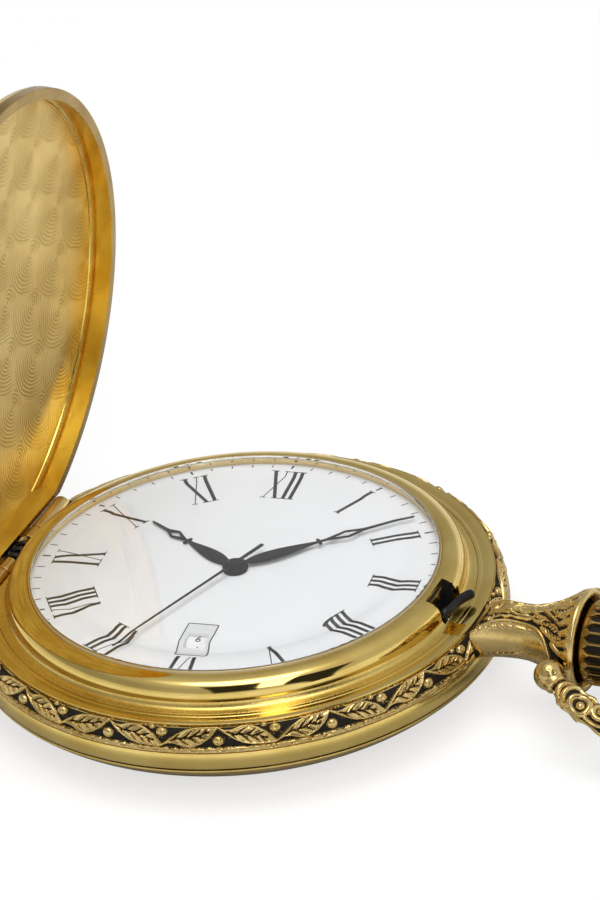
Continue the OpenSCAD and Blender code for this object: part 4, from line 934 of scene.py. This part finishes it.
def build_print():
    shapes, heights = [], []
    for k, text in enumerate("XII I II III IIII V VI VII VIII IX X XI".split()):
        # VI is cut off where the date window is
        for shape, layer in numeral(text, 4.35, 1.25 if text == "VI" else 0.0):
            shapes.append(on_dial(shape, 30 * k, 12.45))
            heights.append(0.014 - 0.003 * layer)
    printed("dial_numerals", shapes, DIAL_Z, heights)
    shapes = []
    for k in range(60):
        w, r0, r1 = (0.11, 17.35, 18.1) if k % 5 else (0.2, 17.3, 18.15)
        shapes.append(on_dial([(-w / 2, 0), (w / 2, 0), (w / 2, r1 - r0), (-w / 2, r1 - r0)], 6 * k, r0))
    printed("minute_track", shapes, DIAL_Z, [0.012] * 60)


DATE_R = 11.55
FRAME_LINE = soften([(-1.42, 2.32), (-1.42, -1.86), (1.42, -1.86), (1.42, 2.32)], 0.12, closed=True, n=3)


def build_date():
    """Shield-like raised frame of the date window with its dark outline."""
    loops = []
    for f, z in ((1.0, 0.0), (1.0, 0.05), (0.985, 0.075), (0.86, 0.08), (0.12, 0.035), (0.0, 0.02), (0.0, 0.0)):
        for x, y in FRAME_LINE:
            wx, wy = math.copysign(0.96, x), math.copysign(0.86, y)
            loops.append([wx + (x - wx) * f, wy + (y - wy) * f - DATE_R, DIAL_Z + z])
    count = len(FRAME_LINE)
    piece("date_shield", np.array(loops) @ DIAL_MATRIX.T, grid_faces(len(loops) // count, count, True, True), lacquer,
          "case", ["date_frame"], "enamel", sharp=50)
    shapes, half, past = [], 0.05, 0.02
    line = np.array(FRAME_LINE) * (0.965, 0.97)
    for a, b in zip(line, np.roll(line, -1, axis=0)):
        d = (b - a) / np.linalg.norm(b - a)
        n, d = np.array([-d[1], d[0]]) * half, d * past
        corners = np.array((a - d - n, b + d - n, b + d + n, a - d + n)) - (0, DATE_R)
        shapes.append([tuple(DIAL_MATRIX[:2, :2] @ p) for p in corners])
    printed("date_outline", shapes, DIAL_Z + 0.06, [0.028 + 0.001 * (i % 2) for i in range(count)])


def build_figures():
    """The days 1 to 31 on the date ring, with 6 in the window."""
    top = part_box("date_ring")[1].z / MM + 0.006
    points, faces = [], []
    for day in range(1, 32):
        text = bpy.data.curves.new("figure", "FONT")
        text.body, text.size, text.align_x, text.align_y = str(day), 1.2, "CENTER", "CENTER"
        text.extrude, text.offset, text.space_character = 0.006, 0.008, 0.90
        mesh = curve_mesh(text)
        angle = math.radians(-90 + DIAL_TURN + (day - 6) * 360 / 31)
        mesh.transform(Matrix.Rotation(angle, 4, "Z") @ Matrix.Translation((DATE_R - 0.43, 0, top))
                       @ Matrix.Rotation(math.pi / 2, 4, "Z") @ Matrix.Diagonal((0.92, 1, 1, 1)))
        k = len(points)
        points += [tuple(v.co) for v in mesh.vertices]
        faces += [[k + i for i in f.vertices] for f in mesh.polygons]
    piece("date_figures", points, faces, ink, "date_ring", slot="hand_black", fix=False)


# Hands

def flat_piece(name, loops, z0, z1, bevel, turn, body, node):
    """A thin plate with rounded edges from closed outlines, the later ones being holes, turned on the dial's axis."""
    line = bpy.data.curves.new(name, "CURVE")
    line.dimensions, line.fill_mode = "2D", "BOTH"
    line.extrude, line.bevel_depth, line.bevel_resolution = (z1 - z0) / 2 - bevel, bevel, 2
    line.offset = -bevel
    for loop in loops:
        spline = line.splines.new("POLY")
        spline.points.add(len(loop) - 1)
        spline.use_cyclic_u = True
        for point, (x, y) in zip(spline.points, loop):
            point.co = (x, y, 0, 1)
    mesh = curve_mesh(line)
    points = [tuple(v.co + Vector((0, 0, (z0 + z1) / 2))) for v in mesh.vertices]
    piece(name, moved(points, Matrix.Rotation(math.radians(turn), 4, "Z")), [list(f.vertices) for f in mesh.polygons],
          hand_grey, body, [node], "hand_black", sharp=50)


def circle(x, y, r, n=40, a0=0.0, a1=360.0):
    angles = np.radians(np.linspace(a0, a1, n, endpoint=abs(a1 - a0 - 360) > 1e-6))
    return [(x + r * math.cos(a), y + r * math.sin(a)) for a in angles]


def hand_outline(length, leaf_end, gem0, gem1, half, hub):
    """Outer outline and gem hole of a leaf hand with a cross, an open diamond and a fine tip."""
    root = 0.26
    neck = math.degrees(math.asin(root / hub))
    x0 = hub * math.cos(math.radians(neck))
    side = []
    for t in np.linspace(0, 1, 26):
        w = root * (1 - t) ** 3 + half * max(math.sin(math.pi * t ** 0.72), 0) ** 1.1 + 0.12 * t
        side.append((x0 + (leaf_end - x0) * t, w))
    side += bend(*around(leaf_end, 0, (0.02, 0.16), (-0.04, 0.42), (0.10, 0.52)), 5)
    side += bend(*around(leaf_end, 0, (0.2, 0.52), (0.34, 0.42), (0.32, 0.16)), 5)
    mid = (gem0 + gem1) / 2 + 0.1
    side += [(leaf_end + 0.5, 0.13), (gem0 - 0.1, 0.15), (gem0 + 0.05, 0.19)]
    side += around(mid, 0, (-0.06, 0.57), (0, 0.59), (0.06, 0.57))
    side += [(gem1 - 0.1, 0.19), (gem1 + 0.2, 0.15), (length - 0.1, 0.10), (length, 0.06)]
    outer = side + [(x, -y) for x, y in side[::-1]] + circle(0, 0, hub, 44, 360 - neck, neck)[1:-1]
    return outer, [(gem0 + 0.45, 0), (mid, 0.36), (gem1 - 0.45, 0), (mid, -0.36)]


def build_hub(name, profile):
    points, faces = revolve(soften(profile, 0.02, n=3), 64)
    piece(name, points, faces, hand_grey, name.split("_")[0], slot="hand_black", sharp=25)


def build_hands():
    """Blades as (name, length, leaf's end, diamond, half width, z, thickness, clock angle, bore), and their hubs."""
    for name, length, end, gem0, gem1, half, z, t, clock, bore in (
            ("hour", 11.8, 6.6, 7.25, 9.6, 0.60, 9.05, 0.14, 303.8, 0.8),
            ("minute", 17.2, 7.9, 8.9, 12.4, 0.62, 9.31, 0.12, 52.0, 0.5)):
        outline = hand_outline(length, end, gem0, gem1, half, 1.15)
        flat_piece(f"{name}_blade", [*outline, circle(0, 0, bore + 0.02, 32)], z, z + t, 0.035, 90 - clock + DIAL_TURN,
                   name, f"{name}_hand")
    side = [(-2.2, 0.19), (-0.7, 0.17), (0.7, 0.14), (15.9, 0.075), (16.0, 0.05)]
    needle = side + [(x, -y) for x, y in side[::-1]] + circle(-3.61, 0, 0.19, 20, 270, 90)
    build_hub("hour_collar", [(0.82, 9.04), (1.12, 9.04), (1.12, 9.24), (0.95, 9.28), (0.82, 9.28), (0.82, 9.04)])
    build_hub("minute_collar", [(0.52, 9.43), (0.98, 9.43), (0.98, 9.50), (0.85, 9.535), (0.52, 9.535), (0.52, 9.43)])
    flat_piece("seconds_needle", [needle], 9.57, 9.65, 0.02, 90 - 204.5 + DIAL_TURN, "seconds", "seconds_hand")
    build_hub("seconds_cap", [
        (0, 9.575), (0.74, 9.575), (0.74, 9.66), (0.66, 9.70), (0.46, 9.71), (0.42, 9.67), (0.36, 9.67), (0.33, 9.76),
        (0.26, 9.80), (0.2, 9.785), (0.1, 9.79), (0, 9.79)])


# Pendant

ROOT_X = CASE_R - 0.6
ROOT_Z = 1.05
ROOT_SLOPE = math.tan(math.radians(28))
CUP_X = 30.9
PER_DEGREE = 0.045


def pendant_line():
    line = bend((CASE_R - 0.8, 2.9), (CASE_R + 0.8, 2.45), (CASE_R + 3.2, 2.45), 80)
    line += bend((CASE_R + 4.0, 2.5), (PENDANT_X - 2.6, 3.05), (PENDANT_X - 0.9, 4.45), 110)
    return line + soften([(PENDANT_X - 0.9, 4.45), (PENDANT_X - 0.3, 4.6), (PENDANT_X, 4.45)], 0.2, n=8)[1:]


def pendant_panel(x, a):
    """Relief of the pendant over x and the angle a in degrees from its top: height 0 to 1."""
    y = np.abs(a) * PER_DEGREE
    panel = Relief(x, y)
    stroke, leaf = panel.stroke, panel.leaf
    # the carved panel above the rim
    stroke(bend((24.0, 0.1), (26.0, 0.28), (31.6, 0.0), 10), 0.2, 0.3, 1.0, 0.5)
    for k, q in enumerate((25.1, 26.3, 27.5, 28.7, 29.9)):
        reach = 0.75 + 0.16 * k
        stroke(bend((q - 0.5, 0.18), (q + 0.15, 0.25 + reach * 0.5), (q + 1.0, reach), 7), 0.24, 0.12, 0.95, 0.45)
    stroke([(24.9, 1.45), (25.4, 1.2), (25.9, 1.28), (26.4, 1.1), (26.9, 1.22), (27.4, 1.08), (27.9, 1.25),
            (28.4, 1.12), (28.9, 1.4), (29.5, 1.42)], 0.15, 0.15)
    dx, dy = x - 24.15, y - 1.38
    d, petal = np.hypot(dx, dy), 0.5 + 0.06 * np.cos(6 * np.arctan2(dy, dx))
    panel.top(np.where(d < petal, 1.1 * hump(d / petal) + 0.12 * np.cos(d * 22), 0))
    stroke(bend((24.7, 1.75), (24.9, 1.35), (24.6, 0.7), 7), 0.18, 0.12)
    leaf((28.3, 1.05), (30.6, 1.7), 0.42)
    leaf((30.1, 0.35), (32.4, 0.95), 0.45)
    leaf((29.9, 1.9), (31.9, 2.65), 0.52, 0.40)
    leaf((30.6, 1.2), (32.6, 1.75), 0.4, 0.40)
    stroke(bend((29.6, 2.0), (30.6, 2.9), (31.9, 3.0), 8), 0.2, 0.12, 1.0, 0.3)
    stroke(bend((30.9, 3.1), (31.6, 3.7), (32.6, 3.5), 8), 0.26, 0.14, 1.0, 0.3)
    for k, q in enumerate(np.arange(0.35, 7.9, 0.62)):
        stroke([(31.55 + 0.12 * (k % 2), q + 0.12), (32.55, q)], 0.2, 0.24, 0.9, 0.3)
    # the rim, as a smoothed line of (x, y)
    rim_x = np.linspace(23.0, 31.0, 34)
    rim_y = np.interp(rim_x, (23.0, 24.0, 24.65, 26.06, 27.66, 29.0, 29.9, 30.6, 31.0),
                      np.array([66, 54, 46, 36, 38, 46, 60, 86, 110]) * PER_DEGREE)
    rim = np.stack([rim_x, rim_y], 1)
    for _ in range(2):
        rim[1:-1] = (rim[:-2] + rim[1:-1] + rim[2:]) / 3
    edge = np.interp(x, *rim.T)
    above = smoothstep(0.02, 0.1, edge - y) * (x < CUP_X) > 0
    field = np.where(above | ((x >= CUP_X) & (y < 7.2)), panel.field, 0.82)
    # grainy hollow below the rim, a thin line, and the plain underside
    low_edge = np.interp(x, (23.0, 23.8, 26.2, 28.6, 30.0), np.array([127, 125, 113, 102, 98]) * PER_DEGREE)
    below = (y >= edge) & (y < low_edge) & (x < CUP_X)
    grain = 0.05 * ripple(np.radians(a) * 3, x * 5, 21, n=16, low=3, high=12)
    field = np.where(below, 0.62 + grain + 0.12 * smoothstep(0.2, 0.6, y - edge), field)
    ragged = np.abs(y - edge - 0.55 - 0.10 * np.sin(x * 9) - 0.06 * np.sin(x * 23 + 1))
    field = np.where(below & (x < 28.6), np.maximum(field, 0.86 * (1 - smoothstep(0.10, 0.2, ragged))), field)
    field = np.where(below & (x > 24.0) & (x < 28.3) & (np.abs(y - edge - 0.28) < 0.1), 0.42 + grain, field)
    field = np.where((x < 29.6) & (np.abs(y - low_edge + 0.04 * np.sin(x * 11)) < 0.05), 0.2, field)
    ridge = Relief(x, y)
    ridge.stroke(rim, 0.17, 0.2, 1.12)
    field = np.where(x < CUP_X, np.maximum(field, ridge.field), field)
    lip = smoothstep(32.45, 32.62, x)
    root = smoothstep(23.62, 23.50, x) * (y < 2.9)
    return (field * (1 - lip) + lip) * (1 - root) + 1.05 * root


def build_pendant():
    """A chased neck with a cup for the crown, its root sloping onto the band, and pits where the bow's pins go in."""
    inner = [(PENDANT_X, 4.05), (PENDANT_X - 0.06, 4.0), (32.2, 3.9), (31.4, 3.6), (CUP_X, 3.0), (CUP_X, 1.22),
             (30.86, 1.2), (CASE_R + 0.3, 1.2), (CASE_R + 0.3, 0.48), (CASE_R - 0.8, 0.48)]
    columns = 400
    x, a, r0 = stem_grid(pendant_line(), columns, -180)
    h = pendant_panel(x, a)
    r = r0 - 0.30 * (1 - h)
    cosine = np.cos(np.radians(a))
    slope = ROOT_Z + np.clip(x - ROOT_X, -0.25, None) * ROOT_SLOPE + 0.22 * (h - 0.8) * (x > 23.6)
    roof = np.where(cosine > 0.05, slope / np.clip(cosine, 0.05, None), 99)
    k = 0.18
    mixed = np.clip(0.5 + 0.5 * (roof - r) / k, 0, 1)
    r = roof * (1 - mixed) + r * mixed - k * mixed * (1 - mixed)
    pit = smoothstep(0.62, 0.52, np.hypot(x - PIVOT_X, r0 * cosine))
    r = r * (1 - pit) + 3.76 * pit
    x_in, a_in, r_in = stem_grid(inner, columns, -180)
    points = np.concatenate([round_stem(x, a, r), round_stem(x_in, a_in, r_in)])
    # Painted shade: the inside of the cup and the bore are marked 0.05, and the pits round the bow's pins 0, so the
    # metal turns black there.
    mark = np.concatenate([h * (1 - pit), np.where(r_in < 3.95, 0.05, 1.0)])
    piece("pendant_neck", points.reshape(-1, 3), grid_faces(len(points), columns, True, True), ornament_gold, "case",
          ["pendant"], "antique_gold", sharp=70, marks=mark)


# Crown, its slots running along the barrel

def build_crown():
    flutes = 24
    line = soften([(CROWN_X, 1.62), (CROWN_X, 2.55)], 0.1)
    line += bend((CROWN_X + 0.15, 2.78), (CROWN_X + 1.15, CROWN_R - 0.06), (CROWN_X + 2.5, CROWN_R), 30)
    line += [(q, CROWN_R) for q in np.linspace(CROWN_X + 2.55, CROWN_END - 0.95, 90)]
    line += bend((CROWN_END - 0.9, CROWN_R), (CROWN_END - 0.1, CROWN_R - 0.1), (CROWN_END, CROWN_R * 0.6), 18)
    line += bend((CROWN_END + 0.02, CROWN_R * 0.57), (CROWN_END + 0.13, 1.0), (CROWN_END + 0.15, 0.02), 8)
    outer_rows = np.arange(len(line) + 5)[:, None] < len(line)
    line += around(CROWN_X, 0, (3.4, 0.02), (3.4, 0.26), (1.5, 0.26), (1.5, 1.6), (0.02, 1.6))
    columns = flutes * 20
    x, a, r0 = stem_grid(line, columns)
    phase = np.abs(np.mod(a / 360 * flutes, 1) - 0.5) * 2
    ends = np.minimum(x - (CROWN_X + 2.0), CROWN_END - 0.75 - x)
    depth = smoothstep(0.0, 0.14, 0.82 * np.clip(ends / 0.60, 0, 1) - phase) * (r0 > 3.0)
    r = r0 - np.where(outer_rows, 0.34 * depth, 0)
    mark = np.where(r0 < 1.9, 1.0, np.where(outer_rows, 1.0 - depth, 0.0))
    piece("crown_knob", round_stem(x, a, r).reshape(-1, 3), grid_faces(len(line), columns, True, True), crown_gold,
          "crown", ["crown"], "hinge_gold", sharp=50, marks=mark)


# Bow

BOW_X = 6.8
BOW_SIDE_R = 12.06
BOW_SIDE_A = 34.3
DROP = Matrix.Translation((PIVOT_X, 0, STEM_Z)) @ Matrix.Rotation(math.radians(BOW_DROP), 4, "Y")
SCROLL_START = 3.9


def bow_path(step=0.05):
    """Middle line of the bow in its own plane, from one ball to the other, and how far along it each point is."""
    side = [(BOW_X - BOW_SIDE_R * math.sin(t), -BOW_HALF + BOW_SIDE_R * (1 - math.cos(t)))
            for t in np.radians(np.linspace(BOW_SIDE_A - 1.5, 0, 150))]
    arc = [(BOW_X + BOW_HALF * math.cos(t), BOW_HALF * math.sin(t)) for t in np.radians(np.linspace(-90, 90, 520))]
    line = np.array(side + arc[1:-1] + [(x, -y) for x, y in side[::-1]])
    s = np.r_[0, np.cumsum(np.hypot(*np.diff(line, axis=0).T))]
    even = np.linspace(0, s[-1], int(s[-1] / step))
    return even, np.stack([np.interp(even, s, line[:, 0]), np.interp(even, s, line[:, 1])], 1)


def bow_relief(m, t):
    """Height of the bow's scrolls and leaves. m runs from the nearer ball along the bow, t across it, both in mm."""
    y = t - 0.5
    bow = Relief(m, y)
    stroke, leaf, ring, dot = bow.stroke, bow.leaf, bow.ring, bow.dot
    for q, w in ((1.55, 0.30), (2.25, 0.26)):
        stroke(bend((q + 0.65, -1.5), (q - 0.75, 0.0), (q + 0.65, 1.5), 12), w, w, 1.05)
        stroke(bend((q + 0.65, 1.5), (q + 1.15, 1.2), (q + 0.75, 0.75), 6), w, 0.2)
    stroke(bend((2.6, -1.4), (3.4, -1.2), (4.4, -1.6), 8), 0.24, 0.2)
    for b in SCROLL_START + np.arange(4) * 7.6:
        ring(b, 0.30, 0.86, 0.28)
        dot(b + 0.1, 0.30, 0.40)
        ring(b + 1.85, -0.30, 0.72, 0.27)
        dot(b + 1.75, -0.30, 0.34)
        leaf((b + 2.4, 0.0), (b + 5.0, 0.1), 0.68, 0.46)
        leaf((b + 2.9, 1.5), (b + 5.1, 1.15), 0.40)
        leaf((b + 2.9, -1.45), (b + 5.1, -1.15), 0.40)
        for x0, y0, x1, y1, x2, y2, w0, w1 in (
                (-0.6, -0.5, 0.2, -1.3, 1.2, -0.75, 0.22, 0.14), (1.0, 0.95, 1.9, 1.3, 2.9, 0.75, 0.2, 0.14),
                (4.9, 0.9, 5.6, 0.2, 6.4, 0.75, 0.2, 0.13), (4.9, -0.8, 5.6, -0.1, 6.4, -0.7, 0.2, 0.13)):
            stroke(bend((b + x0, y0), (b + x1, y1), (b + x2, y2), 7), w0, w1)
        dot(b + 5.65, 0.05, 0.3)
    bow.top(0.8 * hump((np.abs(y) - 2.02) / 0.2))
    return bow.field


def build_bow():
    s, line = bow_path()
    columns = 132
    along = np.gradient(line, axis=0)
    along /= np.linalg.norm(along, axis=1)[:, None]
    side = np.stack([along[:, 1], -along[:, 0]], 1)
    m = np.minimum(s, s[-1] - s)
    base = (1.15 + 0.30 * smoothstep(5.2, 8.2, m)) * (0.86 + 0.14 * smoothstep(0.9, 2.4, m))
    m, a = np.meshgrid(m, np.linspace(0, 2 * math.pi, columns, endpoint=False), indexing="ij")
    t = (math.pi / 2 - np.arcsin(np.clip(np.abs(np.sin(a)), 0, 1))) * base[:, None]
    t = t * np.where(np.cos(a) >= 0, 1, -1) * np.where(np.sin(a) >= 0, 1, -1)
    fade = smoothstep(0.8, 1.2, m)
    h = 1 - (1 - bow_relief(m, t)) * fade
    top_side = smoothstep(8.0, 15.0, m)
    wave = 0.06 * np.sin(2 * np.pi * (m - SCROLL_START) / 1.9) - 0.06
    radius = base[:, None] - 0.34 * (1 - np.clip(h, 0, 1.15)) * fade + wave * fade - 0.09 * top_side
    outside = np.where(np.cos(a) > 0, 1.0 - 0.85 * top_side, 0.45)
    across = np.cos(a) * (radius + (0.18 + 0.42 * smoothstep(1.0, 5.0, m)) * outside)
    points = np.concatenate([line[:, None] + side[:, None] * across[..., None], (np.sin(a) * radius)[..., None]], -1)
    piece("bow_hoop", moved(points, DROP), grid_faces(len(s), columns, wrap_v=True, caps=True), ornament_gold, "bow",
          ["bow"], "antique_gold", sharp=70, marks=h)
    build_ball("near", -1)
    build_ball("far", 1)


def build_ball(name, sign):
    """A ball end with small pits on its cap, a polished spot in its middle, and the pin on its inner side."""
    rows, columns = 70, 90
    u, v = np.meshgrid(
        np.linspace(0, math.pi, rows), np.linspace(0, 2 * math.pi, columns, endpoint=False), indexing="ij")
    mark, radius = np.ones(u.shape), np.full(u.shape, 1.36)
    rng = np.random.default_rng(11)
    for _ in range(20):
        cu, cv, w = rng.uniform(0.3, 1.3), rng.uniform(0, 6.28), rng.uniform(0.05, 0.13)
        d = np.hypot(u - cu, (np.mod(v - cv + math.pi, 2 * math.pi) - math.pi) * np.sin(cu))
        pit = 1 - smoothstep(w * 0.5, w, d)
        mark = mark - pit * 0.95
        radius = radius - 0.05 * pit
    radius = radius + 0.03 * np.exp(-(u / 0.16) ** 2) - 0.04 * np.exp(-((u - 0.28) / 0.06) ** 2)
    mark = np.clip(mark - 0.6 * np.exp(-((u - 0.28) / 0.05) ** 2), 0, 1)
    ball = np.stack([radius * np.sin(u) * np.cos(v), sign * (PIVOT_Y + radius * np.cos(u)),
                     radius * np.sin(u) * np.sin(v)], -1).reshape(-1, 3)
    pin, pin_faces = revolve([(0, 3.86), (0.4, 3.86), (0.45, 3.91), (0.45, PIVOT_Y), (0, PIVOT_Y)], 32)
    pin = np.array(pin)[:, [0, 2, 1]] * (1, sign, 1)
    faces = grid_faces(rows, columns, wrap_v=True) + [[k + len(ball) for k in f] for f in pin_faces]
    piece(f"bow_ball_{name}", moved(np.concatenate([ball, pin]), DROP), faces, ornament_gold, "bow",
          slot="antique_gold", sharp=60, marks=np.r_[mark.ravel(), np.ones(len(pin))])


# Sprung and hinged parts

def build_spring():
    wire, mean, curls, room = 0.25, 0.65, 2.75, 1.9
    y0, span = -room + 0.05 + wire, 2 * room - 0.1 - wire - 0.5
    line = [(HINGE_X - mean, y0, HINGE_LOW + wire + q) for q in np.linspace(0, 0.55, 8)]
    for t in np.linspace(0, 1, 190):
        a = math.pi - 2 * math.pi * curls * t
        line.append((HINGE_X + mean * math.cos(a), y0 + span * t, HINGE_Z + mean * math.sin(a)))
    x, y, z = line[-1]
    line += [(x, y + q, z) for q in (0.12, 0.24)]
    piece("spring_coil", *tube(line, wire + 0.01), black_metal, "case", ["lift_spring"], "black_steel", sharp=60)


def build_catch():
    """The hook's wire, which rises from the blade, turns and reaches outwards, and the blade."""
    post, top = CATCH_X + 0.60, SUNK_Z - 0.05
    low = bend((post, -1.3, top - 1.0), (post, -1.3, top + 0.3), (post, -1.3, CATCH_Z - 0.35), 8)
    turn = bend((post, -1.3, CATCH_Z - 0.3), (post, -1.28, CATCH_Z + 0.02), (post + 0.22, -0.85, CATCH_Z + 0.02), 8)
    arm = bend((post + 0.27, -0.7, CATCH_Z + 0.02), (post + 0.42, 1.00, CATCH_Z + 0.10),
               (post + 1.18, 2.10, CATCH_Z + 0.14), 16)
    growth = smoothstep(0.1, 0.8, np.linspace(0, 1, len(arm)))
    radii = np.r_[[0.36] * len(low), [0.39] * len(turn), 0.39 + 0.06 * growth]
    piece("catch_hook", *tube(low + turn + arm, radii, 28), black_metal, "catch", ["catch_spring"], "black_steel",
          sharp=60)
    blade = piece("catch_blade", *block(CATCH_X + 0.25, CATCH_X + 0.65, -3.4, 3.4, top - 1.35, top), black_metal)
    carve(blade, rod_x(0.45, CATCH_X - 1, CATCH_X + 2))
    rounder = blade.modifiers.new("edges", "BEVEL")
    rounder.width, rounder.segments, rounder.limit_method = 0.06 * MM, 3, "ANGLE"
    settle(blade, "catch")


def build_knuckles():
    """The lid's knuckles, modelled shut and swung open with it, and the pin through all four."""
    for name, y0, y1 in (("low", -3.7, -1.9), ("high", 1.9, 3.7)):
        knuckle = piece(f"lid_knuckle_{name}", *rod_y(HINGE_X, HINGE_Z, KNUCKLE_R, y0, y1), hinge_gold)
        web = block(HINGE_X - 0.4, CHORD_X - CHORD_T + 0.02, y0 + 0.02, y1 - 0.02, HINGE_Z, LID_Z + 1.38)
        carve(knuckle, ("UNION", web), rod_y(HINGE_X, HINGE_Z, 0.37, y0 - 1, y1 + 1))
        knuckle.data.transform(OPENED)
        settle(knuckle, "cover", ["cover_knuckles"] if name == "low" else [])
    rod = rod_y(HINGE_X, HINGE_Z, 0.32, -HINGE_HALF + 0.12, HINGE_HALF - 0.12)
    piece("hinge_rod", *rod, black_metal, "case", ["hinge_pin"], "steel")


def build_gasket():
    r0, r1, z0, z1 = VIEW_R - 0.19, VIEW_R - 0.01, GLASS_Z - 0.14, crystal_top()[-1][1] - 0.01
    line = soften([(r0, z0), (r1, z0), (r1, z1), (r0, z1), (r0, z0 + 0.01)], 0.03, n=4)
    ring = piece("crystal_seal", *revolve(line, closed=True), gasket, "case", ["crystal_gasket"], "gasket_clear")
    # Painted light: the cream sides of the seal stand in for a thin pale highlight line, and the ring gold on its top
    # faces for the bezel's gold wall seen through the glass.
    ring.data.materials.append(ring_gold)
    for face in ring.data.polygons:
        face.material_index = int(face.normal.z > 0.3)


for build in (build_band, build_leaf_band, build_back, build_bezel, build_crystal, build_lid, build_print, build_date,
              build_figures, build_hands, build_pendant, build_crown, build_bow, build_spring, build_catch,
              build_knuckles, build_gasket):
    build()


# CAD nodes that stay

def smooth_group():
    """Shades a CAD mesh smooth, with its edges over 30 degrees left sharp."""
    group = bpy.data.node_groups.new("smooth_shade", "GeometryNodeTree")
    for way in ("INPUT", "OUTPUT"):
        group.interface.new_socket("Geometry", in_out=way, socket_type="NodeSocketGeometry")
    soft = put(group, "GeometryNodeSetShadeSmooth", {0: put(group, "NodeGroupInput").outputs[0]})
    angle = put(group, "GeometryNodeInputMeshEdgeAngle").outputs[0]
    test = put(group, "FunctionNodeCompare", {0: angle, 1: math.radians(30)}, operation="GREATER_THAN")
    hard = put(group, "GeometryNodeSetShadeSmooth", {
        0: soft.outputs[0], "Selection": test.outputs[0], "Shade Smooth": False}, domain="EDGE")
    put(group, "NodeGroupOutput", {0: hard.outputs[0]})
    return group


group = smooth_group()
for material, names in (
        (rubber, "back_gasket crown_gasket"), (ring_gold, "rehaut_ring"), (lacquer, "dial"),
        (figure_white, "date_ring"), (plastic, "movement_holder"), (board, "circuit_board"), (copper, "drive_coil"),
        (brass, "main_plate train_bridge hour_wheel minute_wheel seconds_wheel third_wheel centre_wheel fifth_wheel "
                "date_idler date_driver"),
        (steel, "calendar_plate movement_screws quartz_can stator battery battery_clamp clutch_pinion push_sleeve stem "
                "cannon_pinion rotor")):
    for name in names.split():
        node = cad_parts[name]
        slots = node.data.materials
        if not slots:
            slots.append(material)
        for i in range(len(slots)):
            slots[i] = material
        node.modifiers.new("weld", "WELD").merge_threshold = 1e-6
        node.modifiers.new("smooth", "NODES").node_group = group
